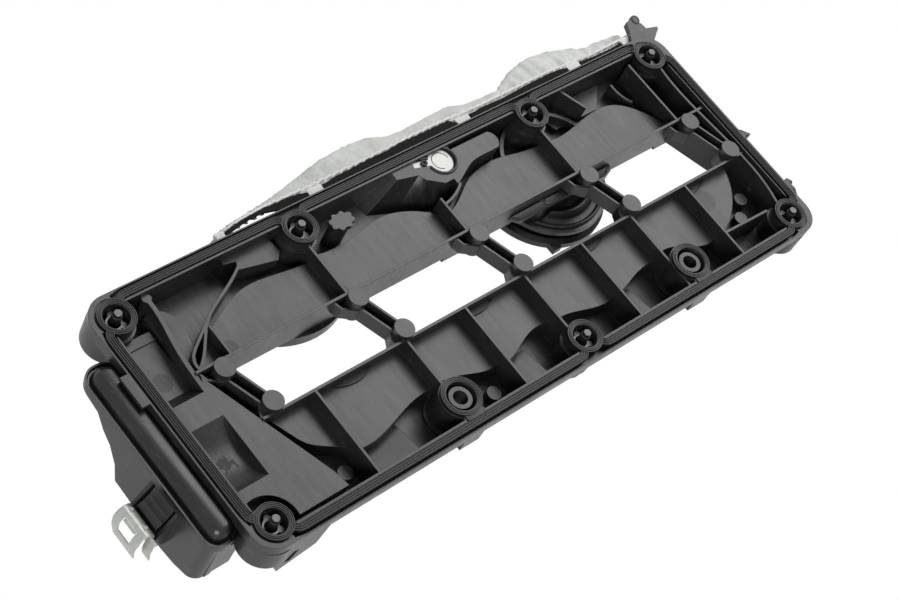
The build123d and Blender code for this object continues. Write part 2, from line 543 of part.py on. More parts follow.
    # end housing: chamber body with its joint flange
    with BuildSketch(Plane.YZ.offset(HOUSING_BODY_X)):
        with BuildLine():
            Polyline(*HOUSING_PROFILE, close=True)
        make_face()
    extrude(amount=CAVITY_LEFT - HOUSING_LEFT - 3.0)
    housing_edges = cover_moulding.edges().filter_by_position(Axis.X, HOUSING_BODY_X - 0.1, HOUSING_BODY_X + 0.1)
    fillet(housing_edges.sort_by(Axis.Y)[0], HOUSING_BODY_R)
    with BuildSketch(Plane.XY.offset(HOUSING_FLANGE_TOP_Z - HOUSING_FLANGE)):
        with Locations(((HOUSING_LEFT + HOUSING_RIGHT) / 2, (HOUSING_TOP_Y + HOUSING_BOTTOM_Y) / 2)):
            RectangleRounded(HOUSING_RIGHT - HOUSING_LEFT, HOUSING_TOP_Y - HOUSING_BOTTOM_Y, HOUSING_CORNER_R)
    extrude(amount=HOUSING_FLANGE)
    # ramped bracket for the spring clip between two gussets, on the housing's outer face
    for outline, bracket_front, bracket_width in CLIP_BRACKET:
        with BuildSketch(Plane.XZ.offset(-bracket_front)):
            with BuildLine():
                Polyline(*outline, close=True)
            make_face()
        extrude(amount=-bracket_width)

    # arched apron from the housing's front corner to the block
    with BuildSketch(Plane.XZ.offset(-HOUSING_BOTTOM_Y - 2.5)):
        with BuildLine():
            Polyline(*APRON_FRONT)
            ThreePointArc(APRON_FRONT[-1], APRON_ARCH, APRON_BACK[0])
            Polyline(*APRON_BACK, APRON_FRONT[0])
        make_face()
    extrude(amount=-APRON_DEPTH)

    # block under the lower flange, beside the corner boss
    with BuildSketch(Plane.XZ.offset(-CORNER_BLOCK_Y)):
        with BuildLine():
            Polyline(*CORNER_BLOCK, close=True)
        make_face()
        with Locations((-188.5, -22.5)):
            Rectangle(4.5, 9.0, rotation=-25.0, mode=Mode.SUBTRACT)
    extrude(amount=-CORNER_BLOCK_DEPTH)

    # groove for the seal
    with BuildSketch(Plane.XY.offset(RAIL_TOP_Z)):
        for run in SEAL_RUNS:
            with BuildLine() as groove_route:
                Polyline(*run)
            trace(groove_route.line, line_width=SEAL_WIDTH + 2 * SEAL_GAP)
    extrude(amount=SEAL_FACE_Z - SEAL_DEPTH - RAIL_TOP_Z, mode=Mode.SUBTRACT)
    # seats for the seal's rings
    with BuildSketch(Plane.XY.offset(RAIL_TOP_Z)):
        with Locations(*BOLTS):
            Circle(SEAL_RING_R + SEAL_GAP)
        with Locations(*TUBES):
            Circle(TUBE_RING_R + SEAL_GAP)
        with Locations(*[(tube_x, BRIDGE_Y) for tube_x, tube_y in TUBES]):
            Rectangle(BRIDGE_WIDTH + 2 * SEAL_GAP, BRIDGE_LENGTH)
    extrude(amount=SEAL_FACE_Z - RING_THICKNESS - RAIL_TOP_Z, mode=Mode.SUBTRACT)
    # bores
    with Locations(*[(bolt_x, bolt_y, SEAL_FACE_Z) for bolt_x, bolt_y in BOLTS]):
        Hole(BORE_R)
    with Locations(*[(tube_x, tube_y, SEAL_FACE_Z) for tube_x, tube_y in TUBES]):
        Hole(TUBE_HOLE_R)
        Hole(TUBE_BORE_R, depth=-TUBE_CORE_TOP_Z)
    # ring-shaped pockets that leave a core tube round each hole
    with BuildSketch(Plane.XY.offset(TUBE_POCKET_Z)):
        with Locations(*TUBES):
            Circle(TUBE_BORE_R)
            Circle(TUBE_CORE_R, mode=Mode.SUBTRACT)
    extrude(amount=-TUBE_POCKET_Z, mode=Mode.SUBTRACT)
cover_moulding.part.label = "cover_moulding"

# ---------------------------------------------------------------- seal
with BuildPart() as perimeter_gasket:
    with BuildSketch(Plane.XY.offset(SEAL_FACE_Z - SEAL_DEPTH)):
        for run in SEAL_RUNS:
            with BuildLine() as seal_route:
                Polyline(*run)
            trace(seal_route.line, line_width=SEAL_WIDTH)
    extrude(amount=SEAL_DEPTH)
    with BuildSketch(Plane.XY.offset(SEAL_FACE_Z - RING_THICKNESS)):
        with Locations(*BOLTS):
            Circle(SEAL_RING_R)
        with Locations(*TUBES):
            Circle(TUBE_RING_R)
        with Locations(*[(tube_x, BRIDGE_Y) for tube_x, tube_y in TUBES]):
            Rectangle(BRIDGE_WIDTH, BRIDGE_LENGTH)
    extrude(amount=RING_THICKNESS)
    with BuildSketch(Plane.XY.offset(SEAL_FACE_Z)):
        with Locations(*BOLTS):
            Circle(SEAL_HOLE_R)
        with Locations(*TUBES):
            Circle(TUBE_SEAL_HOLE_R)
    extrude(amount=-SEAL_DEPTH, mode=Mode.SUBTRACT)
    # three fine grooves along each straight run leave four sealing ridges
    with BuildSketch(Plane.XY.offset(SEAL_FACE_Z)):
        for ridge in (-1, 0, 1):
            for side in (-1, 1):
                with Locations((0, side * SEAL_Y + ridge * RIDGE_PITCH)):
                    Rectangle(2 * RIDGE_HALF_RUN_X, RIDGE_GROOVE)
            for run_x in (SEAL_LEFT, SEAL_RIGHT):
                with Locations((run_x + ridge * RIDGE_PITCH, 0)):
                    Rectangle(RIDGE_GROOVE, 2 * RIDGE_HALF_RUN_Y)
    extrude(amount=-RIDGE_GROOVE, mode=Mode.SUBTRACT)
perimeter_gasket.part.label = "perimeter_gasket"

# ---------------------------------------------------------------- fasteners
HEAD_FLANGE_R = 6.6
HEAD_FLANGE_THICKNESS = 1.5
HEAD_HEX_R = 5.6
SLEEVE_FINGER_TOP_Z = -6.0
SLEEVE_FINGER_BOTTOM_Z = -14.0
SLEEVE_FINGER_R = 1.8
SLEEVE_FINGER_CENTRE_R = 4.7

fasteners = []
for number, (bolt_x, bolt_y) in enumerate(BOLTS, start=1):
    with BuildPart() as captive_bolt:
        with BuildSketch(Plane.XY.offset(HEAD_BOTTOM_Z)):
            with Locations((bolt_x, bolt_y)):
                RegularPolygon(HEAD_HEX_R, 6)
        extrude(amount=BOSS_BOTTOM_Z - HEAD_BOTTOM_Z)
        with BuildSketch(Plane.XY.offset(BOSS_BOTTOM_Z - HEAD_FLANGE_THICKNESS)):
            with Locations((bolt_x, bolt_y)):
                Circle(HEAD_FLANGE_R)
        extrude(amount=HEAD_FLANGE_THICKNESS)
        with BuildSketch(Plane.XY.offset(BOSS_BOTTOM_Z)):
            with Locations((bolt_x, bolt_y)):
                Circle(SHANK_R)
        extrude(amount=THREAD_START_Z - BOSS_BOTTOM_Z)
        with BuildSketch(Plane.XY.offset(THREAD_START_Z)):
            with Locations((bolt_x, bolt_y)):
                Circle(BOLT_R)
        extrude(amount=BOLT_TIP_Z - THREAD_START_Z)
        chamfer(captive_bolt.faces().sort_by(Axis.Z)[-1].edges(), 0.6)
    captive_bolt.part.label = f"captive_bolt_{number}"
    fasteners.append(captive_bolt.part)

    with BuildPart() as bolt_sleeve:
        with BuildSketch(Plane.XY.offset(BOSS_BOTTOM_Z)):
            with Locations((bolt_x, bolt_y)):
                Circle(SLEEVE_R)
                Circle(SLEEVE_BORE_R, mode=Mode.SUBTRACT)
        extrude(amount=SLEEVE_FINGER_BOTTOM_Z - BOSS_BOTTOM_Z)
        # three retaining fingers round the top of the sleeve
        with BuildSketch(Plane.XY.offset(SLEEVE_FINGER_BOTTOM_Z)):
            with Locations((bolt_x, bolt_y)):
                Circle(SLEEVE_R)
                with PolarLocations(SLEEVE_FINGER_CENTRE_R, 3, start_angle=75.0):
                    Circle(SLEEVE_FINGER_R)
                Circle(SLEEVE_BORE_R, mode=Mode.SUBTRACT)
        extrude(amount=SLEEVE_FINGER_TOP_Z - SLEEVE_FINGER_BOTTOM_Z)
    bolt_sleeve.part.label = f"bolt_sleeve_{number}"
    fasteners.append(bolt_sleeve.part)

    with BuildPart() as bolt_grommet:
        with BuildSketch(Plane.XY.offset(GROMMET_BOTTOM_Z)):
            with Locations((bolt_x, bolt_y)):
                Circle(BORE_R)
                Circle(SLEEVE_R, mode=Mode.SUBTRACT)
        extrude(amount=GROMMET_TOP_Z - GROMMET_BOTTOM_Z)
    bolt_grommet.part.label = f"bolt_grommet_{number}"
    fasteners.append(bolt_grommet.part)

# ---------------------------------------------------------------- reed valve
REED_R = 7.4
REED_THICKNESS = 0.5
REED_SLIT_R = 5.6
REED_SLIT = 0.6
SCREW_HEAD_R = 2.0
SEAT_Z = TOWER_TOP_Z - VALVE_SEAT_DEPTH

with BuildPart() as valve_reed_plate:
    with BuildSketch(Plane.XY.offset(SEAT_Z)):
        with Locations((VALVE_X, VALVE_Y)):
            Circle(REED_R)
        with Locations(Location((VALVE_X, VALVE_Y), REED_ANGLE)):
            with Locations((REED_TAB_REACH / 2, 0)):
                Rectangle(REED_TAB_REACH, REED_TAB_WIDTH)
        # C-shaped slit that frees the flexing disc, open towards the far side
        with BuildSketch(Location((VALVE_X, VALVE_Y), REED_ANGLE), mode=Mode.SUBTRACT):
            Circle(REED_SLIT_R + REED_SLIT / 2)
            Circle(REED_SLIT_R - REED_SLIT / 2, mode=Mode.SUBTRACT)
            with Locations((-REED_SLIT_R, 0)):
                Rectangle(4.0, 6.0, mode=Mode.SUBTRACT)
        with Locations((screw_x, screw_y)):
            Circle(SCREW_R + 0.05, mode=Mode.SUBTRACT)
    extrude(amount=REED_THICKNESS)
valve_reed_plate.part.label = "valve_reed_plate"

with BuildPart() as valve_screw:
    with BuildSketch(Plane.XY.offset(SEAT_Z + REED_THICKNESS)):
        with Locations((screw_x, screw_y)):
            Circle(SCREW_HEAD_R)
            RegularPolygon(SCREW_HEAD_R / 2, 6, mode=Mode.SUBTRACT)
    extrude(amount=SCREW_HEAD_R * 0.6)
    with BuildSketch(Plane.XY.offset(SEAT_Z - SCREW_BITE)):
        with Locations((screw_x, screw_y)):
            Circle(SCREW_R)
    extrude(amount=SCREW_BITE + REED_THICKNESS + 0.4)
valve_screw.part.label = "valve_screw"

# ---------------------------------------------------------------- end housing lid
LID_RIDGE_LEFT, LID_RIDGE_RIGHT = -221.5, -212.2
LID_RIDGE_TOP_Z = -4.6
LID_RIDGE_TOP_Y, LID_RIDGE_BOTTOM_Y = 46.5, -55.0

with BuildPart() as end_housing_lid:
    with BuildSketch(Plane.XY.offset(HOUSING_FLANGE_TOP_Z)):
        with Locations(((HOUSING_LEFT + HOUSING_RIGHT) / 2, (HOUSING_TOP_Y + HOUSING_BOTTOM_Y) / 2)):
            RectangleRounded(HOUSING_RIGHT - HOUSING_LEFT, HOUSING_TOP_Y - HOUSING_BOTTOM_Y, HOUSING_CORNER_R)
    extrude(amount=HOUSING_FLANGE)
    with BuildSketch(Plane.XY.offset(HOUSING_FLANGE_TOP_Z + HOUSING_FLANGE)):
        with Locations(((LID_RIDGE_LEFT + LID_RIDGE_RIGHT) / 2, (LID_RIDGE_TOP_Y + LID_RIDGE_BOTTOM_Y) / 2)):
            RectangleRounded(LID_RIDGE_RIGHT - LID_RIDGE_LEFT, LID_RIDGE_TOP_Y - LID_RIDGE_BOTTOM_Y, 4.4)
    extrude(amount=LID_RIDGE_TOP_Z - HOUSING_FLANGE_TOP_Z - HOUSING_FLANGE)
    fillet(end_housing_lid.faces().sort_by(Axis.Z)[-1].edges(), 2.6)
end_housing_lid.part.label = "end_housing_lid"

# ---------------------------------------------------------------- spring clip
CLIP_FRONT_Y, CLIP_BACK_Y = -31.5, -15.5
CLIP_SHEET = 0.8
# the foot grips the bracket's outer face, the front leg carries the window
CLIP_FOOT = [(-235.4, -41.0), (-235.4, -34.5), (-237.6, -31.5), (-237.2, -26.5)]
CLIP_FRONT = [(-246.5, -29.0), (-246.6, -35.0), (-243.4, -47.4)]

with BuildPart() as retaining_clip:
    with BuildSketch(Plane.XZ.offset(-CLIP_BACK_Y)):
        with BuildLine() as clip_route:
            Polyline(*CLIP_FOOT)
            ThreePointArc(CLIP_FOOT[-1], (-242.4, -23.6), (-246.5, -29.0))
            Polyline(*CLIP_FRONT)
        trace(clip_route.line, line_width=CLIP_SHEET)
    extrude(amount=CLIP_BACK_Y - CLIP_FRONT_Y)
    with Locations((-246.0, (CLIP_FRONT_Y + CLIP_BACK_Y) / 2, -36.0)):
        Box(6.0, 7.0, 6.5, mode=Mode.SUBTRACT)
retaining_clip.part.label = "retaining_clip"

# ---------------------------------------------------------------- insulation
MAT_BOTTOM_Z = -23.5
MAT_THICKNESS = 4.0
MAT_INNER_Y = CAVITY_HALF_WIDTH + BODY_MARGIN
MAT_EDGE = [(-118.0, 76.0), (-95.0, 88.5), (-55.0, 97.5), (-12.0, 102.5), (8.0, 98.0), (30.0, 97.5),
            (60.0, 97.0), (88.0, 93.0), (105.0, 96.5), (135.0, 104.0), (155.0, 101.0), (172.0, 95.0), (204.0, 91.5)]

with BuildPart() as insulation_mat:
    with BuildSketch(Plane.XY.offset(MAT_BOTTOM_Z)):
        with BuildLine():
            Spline(*MAT_EDGE)
            Polyline(MAT_EDGE[-1], (MAT_EDGE[-1][0], MAT_INNER_Y), (MAT_EDGE[0][0], MAT_INNER_Y), MAT_EDGE[0])
        make_face()
        with Locations(BOLTS[1], BOLTS[2]):
            Circle(BOSS_R + 0.3, mode=Mode.SUBTRACT)
        with Locations(BOLTS[3]):
            Circle(CORNER_BOSS_R + 0.3, mode=Mode.SUBTRACT)
    extrude(amount=MAT_THICKNESS)
insulation_mat.part.label = "insulation_mat"

STRIP_SPANS = [(-112.0, -56.0), (-46.0, 52.0), (64.0, 145.0), (157.0, 192.0)]
STRIP_WIDTH = 4.2
STRIP_BOTTOM_Z, STRIP_TOP_Z = -9.0, -6.0
edge_strips = []
for number, (strip_left, strip_right) in enumerate(STRIP_SPANS, start=1):
    with BuildPart() as mat_edge_strip:
        with BuildSketch(Plane.XY.offset(STRIP_BOTTOM_Z)):
            with Locations(((strip_left + strip_right) / 2, FLANGE_HALF_WIDTH + STRIP_WIDTH / 2)):
                Rectangle(strip_right - strip_left, STRIP_WIDTH)
        extrude(amount=STRIP_TOP_Z - STRIP_BOTTOM_Z)
        # turned-down hem that meets the mat
        with BuildSketch(Plane.XY.offset(MAT_BOTTOM_Z + MAT_THICKNESS)):
            with Locations(((strip_left + strip_right) / 2, FLANGE_HALF_WIDTH + STRIP_WIDTH - 0.6)):
                Rectangle(strip_right - strip_left, 1.2)
        extrude(amount=STRIP_BOTTOM_Z - MAT_BOTTOM_Z - MAT_THICKNESS)
    mat_edge_strip.part.label = f"mat_edge_strip_{number}"
    edge_strips.append(mat_edge_strip.part)

# ---------------------------------------------------------------- breather valve
CAP_TOP_Z, CAP_BOTTOM_Z = BREATHER_PLATE_Z, -46.5
CAP_RIM_R = 41.0
CAP_CAVITY_R = 31.0
CAP_PROFILE = [(0, CAP_BOTTOM_Z), (33.0, CAP_BOTTOM_Z), (39.0, CAP_BOTTOM_Z + 1.5), (CAP_RIM_R, CAP_BOTTOM_Z + 4.0),
               (CAP_RIM_R, -38.5), (38.0, -37.0), (35.5, -36.5), (35.5, CAP_TOP_Z), (CAP_CAVITY_R, CAP_TOP_Z),
               (CAP_CAVITY_R, CAP_BOTTOM_Z + SKIN), (0, CAP_BOTTOM_Z + SKIN)]
DIAPHRAGM_PROFILE = [(0, -36.6), (17.0, -36.6), (19.0, -38.6), (24.0, -38.6), (26.0, -35.2), (30.8, -35.2),
                     (30.8, -34.0), (25.2, -34.0), (23.2, -37.4), (19.8, -37.4), (17.8, -35.4), (0, -35.4)]

with BuildPart() as breather_cap:
    with BuildSketch(Plane.XZ):
        with BuildLine():
            Polyline(*CAP_PROFILE, close=True)
        make_face()
    revolve(axis=Axis.Z)
    with Locations((CAP_RIM_R * math.cos(math.radians(-118.0)), CAP_RIM_R * math.sin(math.radians(-118.0)), -41.0)):
        Box(6.0, 6.0, 4.0)
breather_cap_placed = Pos(BREATHER_X, BREATHER_Y, 0) * breather_cap.part
breather_cap_placed.label = "breather_cap"

with BuildPart() as breather_diaphragm:
    with BuildSketch(Plane.XZ):
        with BuildLine():
            Polyline(*DIAPHRAGM_PROFILE, close=True)
        make_face()
    revolve(axis=Axis.Z)
breather_diaphragm_placed = Pos(BREATHER_X, BREATHER_Y, 0) * breather_diaphragm.part
breather_diaphragm_placed.label = "breather_diaphragm"

SPRING_R = 8.0
SPRING_WIRE_R = 0.6
SPRING_HEIGHT = 5.6
SPRING_TURNS = 3
STEPS_PER_TURN = 10
coil_steps = [step / STEPS_PER_TURN for step in range(SPRING_TURNS * STEPS_PER_TURN + 1)]
coil_points = [(SPRING_R * math.cos(math.tau * turn), SPRING_R * math.sin(math.tau * turn),
                SPRING_HEIGHT * turn / SPRING_TURNS) for turn in coil_steps]
with BuildPart() as breather_spring:
    with BuildLine():
        coil = Polyline(*coil_points)
    with BuildSketch(Plane(origin=coil @ 0, z_dir=coil % 0)):
        RegularPolygon(SPRING_WIRE_R, 6)
    sweep(transition=Transition.RIGHT)
breather_spring_placed = Pos(BREATHER_X, BREATHER_Y, CAP_BOTTOM_Z + 3.2) * breather_spring.part
breather_spring_placed.label = "breather_spring"

# ---------------------------------------------------------------- export
os.makedirs("parts", exist_ok=True)
pieces = [
    cover_moulding.part,
    perimeter_gasket.part,
    *fasteners,
    valve_reed_plate.part,
    valve_screw.part,
    end_housing_lid.part,
    retaining_clip.part,
    insulation_mat.part,
    *edge_strips,
    breather_cap_placed,
    breather_diaphragm_placed,
    breather_spring_placed,
]
for piece in pieces:
    export_step(piece, f"parts/{piece.label}.step")
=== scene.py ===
import math

import bpy
from mathutils import Matrix, Vector, noise


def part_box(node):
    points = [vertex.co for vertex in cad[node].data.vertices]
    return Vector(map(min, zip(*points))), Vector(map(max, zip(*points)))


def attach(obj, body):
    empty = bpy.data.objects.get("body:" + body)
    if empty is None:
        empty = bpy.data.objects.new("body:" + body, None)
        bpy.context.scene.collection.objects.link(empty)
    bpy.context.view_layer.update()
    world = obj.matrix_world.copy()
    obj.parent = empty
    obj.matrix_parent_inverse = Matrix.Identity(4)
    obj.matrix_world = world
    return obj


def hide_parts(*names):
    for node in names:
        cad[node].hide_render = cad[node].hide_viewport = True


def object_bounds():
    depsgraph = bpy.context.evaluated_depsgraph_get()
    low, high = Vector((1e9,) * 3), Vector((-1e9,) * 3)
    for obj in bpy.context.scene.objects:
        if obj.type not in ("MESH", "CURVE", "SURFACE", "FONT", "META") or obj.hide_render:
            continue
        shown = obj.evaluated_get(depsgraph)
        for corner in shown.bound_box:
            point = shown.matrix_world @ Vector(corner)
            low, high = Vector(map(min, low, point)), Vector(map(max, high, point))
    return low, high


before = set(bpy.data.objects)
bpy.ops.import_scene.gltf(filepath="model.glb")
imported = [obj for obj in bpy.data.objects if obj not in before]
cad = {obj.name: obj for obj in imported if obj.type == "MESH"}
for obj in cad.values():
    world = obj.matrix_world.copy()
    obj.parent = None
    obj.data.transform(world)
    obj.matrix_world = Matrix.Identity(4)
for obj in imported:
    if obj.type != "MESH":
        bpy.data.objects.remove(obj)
cad_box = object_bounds()

# Cover moulding: one injection moulding in black glass-filled nylon. It leaves the tool
# with a fine spark-eroded grain, faint flow lines from the gates and pale scuffs on the
# raised floors, and it shines softly where a flat face meets the light.


def linear(colour):
    """sRGB hex to the linear values that a shader socket takes."""
    parts = [int(colour[i:i + 2], 16) / 255 for i in (1, 3, 5)]
    return [c / 12.92 if c <= 0.04045 else ((c + 0.055) / 1.055) ** 2.4 for c in parts] + [1.0]


def feed(tree, node, inputs):
    """Sets a node's inputs: a number or colour on its socket, another node by a link."""
    for name, value in inputs.items():
        if isinstance(value, bpy.types.Node):
            value = value.outputs[0]
        if isinstance(value, bpy.types.NodeSocket):
            tree.links.new(value, node.inputs[name])
        else:
            node.inputs[name].default_value = value


def add(tree, kind, inputs=None, **settings):
    """Adds one shader node with its settings and what feeds it."""
    made = tree.nodes.new("ShaderNode" + kind)
    for name, value in settings.items():
        setattr(made, name, value)
    feed(tree, made, inputs or {})
    return made


def new_material(name):
    """An empty material and its surface shader, joined to the output."""
    material = bpy.data.materials.new(name)
    material.use_nodes = True
    tree = material.node_tree
    tree.nodes.clear()
    surface = add(tree, "BsdfPrincipled")
    add(tree, "OutputMaterial", {"Surface": surface})
    return material, tree, surface


def wear(piece, material):
    """The piece takes this one material."""
    piece.data.materials.clear()
    piece.data.materials.append(material)


def nylon(name, dark, light, roughness, pins=(), dull_spot=None):
    """Moulded glass-filled nylon: grain, flow lines, scuffs, pin prints and a dull spot."""
    material, tree, surface = new_material(name)
    place = add(tree, "TexCoord").outputs["Object"]
    # flow lines lie 3 mm apart and run 30 mm, over clouds of fibre 36 mm across
    stretched = add(tree, "Mapping", {"Vector": place, "Scale": (330.0, 34.0, 90.0)})
    flow = add(tree, "TexNoise", {"Vector": stretched, "Scale": 1.0, "Detail": 4.0,
                                  "Roughness": 0.6})
    cloud = add(tree, "TexNoise", {"Vector": place, "Scale": 28.0, "Detail": 5.0,
                                   "Roughness": 0.65})
    both = add(tree, "Math", {0: flow, 1: cloud}, operation="ADD")
    tone = add(tree, "MapRange", {"Value": both, "From Min": 0.7, "From Max": 1.3})
    base = add(tree, "MixRGB", {"Fac": tone, "Color1": linear(dark), "Color2": linear(light)})
    # scuffs are pale, 1 mm wide and 7 mm long, and lie aslant
    aslant = add(tree, "Mapping", {"Vector": place, "Rotation": (0.0, 0.0, 0.5),
                                   "Scale": (900.0, 140.0, 300.0)})
    scuff = add(tree, "TexNoise", {"Vector": aslant, "Scale": 1.0, "Detail": 3.0})
    pale = add(tree, "MapRange", {"Value": scuff, "From Min": 0.62, "From Max": 0.78,
                                  "To Max": 0.13})
    base = add(tree, "MixRGB", {"Fac": pale, "Color1": base, "Color2": linear("#8c8c88")})
    # spark-eroded grain is drawn 0.5 mm apart, coarser than it is, so that it shows
    grain = add(tree, "TexNoise", {"Vector": place, "Scale": 2000.0, "Detail": 2.0})
    relief = add(tree, "Math", {0: grain, 1: 0.5, 2: flow}, operation="MULTIPLY_ADD")
    shine = add(tree, "MapRange", {"Value": both, "From Min": 0.6, "From Max": 1.4,
                                   "To Min": roughness - 0.08, "To Max": roughness + 0.10})
    for pin_x, pin_y, pin_radius in pins:
        # an ejector pin leaves a shallow round print, duller than the face round it
        in_plan = add(tree, "Mapping", {"Vector": place, "Scale": (1.0, 1.0, 0.0)})
        away = add(tree, "VectorMath", {0: in_plan, 1: (pin_x, pin_y, 0.0)},
                   operation="DISTANCE").outputs["Value"]
        print_depth = add(tree, "MapRange", {"Value": away, "From Min": pin_radius,
                                             "From Max": pin_radius + 0.0005,
                                             "To Min": 0.7, "To Max": 0.0})
        relief = add(tree, "Math", {0: relief, 1: print_depth}, operation="SUBTRACT")
        shine = add(tree, "Math", {0: print_depth, 1: 0.12, 2: shine}, operation="MULTIPLY_ADD")
    if dull_spot:
        # a spot where the tool was repaired comes out dull, with an edge torn 3 mm deep
        in_plan = add(tree, "Mapping", {"Vector": place, "Scale": (1.0, 1.0, 0.0)})
        away = add(tree, "VectorMath", {0: in_plan, 1: dull_spot},
                   operation="DISTANCE").outputs["Value"]
        torn = add(tree, "TexNoise", {"Vector": place, "Scale": 320.0, "Detail": 3.0})
        torn = add(tree, "Math", {0: torn, 1: 0.016, 2: away}, operation="MULTIPLY_ADD")
        dull = add(tree, "MapRange", {"Value": torn, "From Min": 0.0118, "From Max": 0.0126,
                                      "To Min": 1.0, "To Max": 0.0})
        shine = add(tree, "Math", {0: dull, 1: 0.25, 2: shine}, operation="MULTIPLY_ADD")
    # the tool's edges are rounded to about 0.4 mm
    rounded = add(tree, "Bevel", {"Radius": 0.0004}, samples=4)
    bump = add(tree, "Bump", {"Height": relief, "Normal": rounded, "Strength": 0.2,
                              "Distance": 0.0003})
    feed(tree, surface, {"Base Color": base, "Roughness": shine, "Normal": bump,
                         "IOR": 1.53, "Specular IOR Level": 0.36})
    return material


# place in plan and radius of each pin
EJECTOR_PINS = [(-0.1925, 0.0270, 0.0050), (-0.1510, 0.0265, 0.0045), (-0.0760, 0.0250, 0.0035),
                (0.0120, 0.0250, 0.0035), (0.1000, 0.0270, 0.0035), (0.1630, -0.0280, 0.0070)]
REPAIRED_SPOT = (-0.1940, -0.0240, 0.0)
cover_nylon = nylon("moulded_glass_filled_nylon", "#191919", "#292928", 0.34, EJECTOR_PINS,
                    REPAIRED_SPOT)
wear(cad["cover_moulding"], cover_nylon)

# End housing lid: a second nylon moulding, welded to the housing's flange. It comes from a
# smoother tool, so it is glossier, and a broad domed ridge runs along it inside a trough.
lid_nylon = nylon("moulded_nylon_smooth_tool", "#0e0e0f", "#191919", 0.27)
LID_CORNER_RADIUS, LID_EDGE = 0.0095, 0.0025
# each step in from the edge: how far in, and how far up
LID_STEPS = [(0.0010, 0.0), (0.0006, -0.0017), (0.0010, -0.0001), (0.0007, 0.0024),
             (0.0008, 0.0021), (0.0010, 0.0014), (0.0011, 0.0009), (0.0010, 0.0004)]


def only(*pieces):
    """Selects these pieces and nothing else."""
    bpy.ops.object.select_all(action="DESELECT")
    for piece in pieces:
        piece.select_set(True)
    bpy.context.view_layer.objects.active = pieces[0]


def turn_faces_out():
    """Turns every face of the piece in hand outwards, and leaves edit mode."""
    bpy.ops.mesh.select_all(action="SELECT")
    bpy.ops.mesh.normals_make_consistent(inside=False)
    bpy.ops.object.mode_set(mode="OBJECT")


def settle(piece, name, material):
    """Puts a finished piece's place into its mesh, names it, rides it and gives its finish."""
    only(piece)
    bpy.ops.object.transform_apply(location=True, rotation=True, scale=True)
    piece.name = name
    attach(piece, "root")
    wear(piece, material)


lid_low, lid_high = [Vector(corner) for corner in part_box("end_housing_lid")]
lid_size = lid_high - lid_low
bpy.ops.object.select_all(action="DESELECT")
bpy.ops.mesh.primitive_plane_add(size=1.0, location=(lid_low.x + lid_size.x / 2,
                                                     lid_low.y + lid_size.y / 2, lid_low.z))
lid = bpy.context.object
lid.scale = (lid_size.x, lid_size.y, 1.0)
bpy.ops.object.transform_apply(location=True, scale=True)
bpy.ops.object.mode_set(mode="EDIT")
bpy.ops.mesh.select_all(action="SELECT")
bpy.ops.mesh.bevel(offset=LID_CORNER_RADIUS, segments=12, affect="VERTICES")
bpy.ops.mesh.select_all(action="SELECT")
bpy.ops.mesh.extrude_region_move(TRANSFORM_OT_translate={"value": (0.0, 0.0, LID_EDGE)})
for step_in, step_up in LID_STEPS:
    bpy.ops.mesh.inset(thickness=step_in, depth=step_up)
turn_faces_out()
bpy.ops.object.shade_smooth_by_angle(angle=math.radians(42.0))
settle(lid, "domed_lid", lid_nylon)
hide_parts("end_housing_lid")

# Seal: one moulded rubber ring pressed into the cover's groove. Four sealing ridges follow
# each run and turn in to a ring round every fastener, and the tubes' rings join the lower
# run over flat bridges. The rubber is satin and a little dusty between the ridges.
seal_rubber, tree, surface = new_material("moulded_acrylic_rubber")
place = add(tree, "TexCoord").outputs["Object"]
# dust lies in patches 6 mm across
dust = add(tree, "TexNoise", {"Vector": place, "Scale": 160.0, "Detail": 6.0, "Roughness": 0.7})
tone = add(tree, "MapRange", {"Value": dust, "From Min": 0.35, "From Max": 0.7})
base = add(tree, "MixRGB", {"Fac": tone, "Color1": linear("#060606"), "Color2": linear("#111112")})
# the skin's texture is drawn 0.4 mm apart, coarser than it is, so that it shows
skin = add(tree, "TexNoise", {"Vector": place, "Scale": 2600.0})
bump = add(tree, "Bump", {"Height": skin, "Strength": 0.12, "Distance": 0.0002})
feed(tree, surface, {"Base Color": base, "Roughness": 0.44, "Normal": bump,
                     "IOR": 1.52, "Specular IOR Level": 0.38})

SEAL_Y, SEAL_LEFT, SEAL_RIGHT = 0.0730, -0.2070, 0.2080
# the fasteners' rings, numbered along the upper run and then the lower one
RING_Y = 0.0637
RINGS = {1: (-0.1970, RING_Y), 2: (-0.0794, RING_Y), 3: (0.0951, RING_Y), 4: (0.1970, RING_Y),
         5: (-0.1970, -RING_Y), 6: (0.0195, -RING_Y), 7: (0.1970, -RING_Y)}
RING_RIDGES, RING_HOLE = (0.0099, 0.0089, 0.0080), 0.0064
TUBES = [(-0.0678, -0.0577), (0.1130, -0.0577)]
TUBE_RIDGES, TUBE_HOLE = (0.0111, 0.0102, 0.0093), 0.0080
# a run meets a ring this far from its middle, turned this far off the run's own line
RUN_REACH = 0.0094
LONG_TURN, SHORT_TURN = math.radians(44.0), math.radians(36.0)
# it begins to turn this far from the ring's middle, on a long run or on a short one
LONG_LEAVE, SHORT_LEAVE = 0.0085, 0.0075
# how far it dips there, and how far on its bend ends and its straight begins
RUN_DIP, RUN_BEND, RUN_STRAIGHT = 0.0004, 0.0025, 0.0120


def joined(pieces):
    """Joins pieces to the first of them."""
    only(*pieces)
    bpy.ops.object.join()
    return bpy.context.object


def block(middle, size):
    """A box of this size, centred here."""
    bpy.ops.object.select_all(action="DESELECT")
    bpy.ops.mesh.primitive_cube_add(size=1.0, location=middle)
    bpy.context.object.scale = size
    bpy.ops.object.transform_apply(location=True, scale=True)
    return bpy.context.object


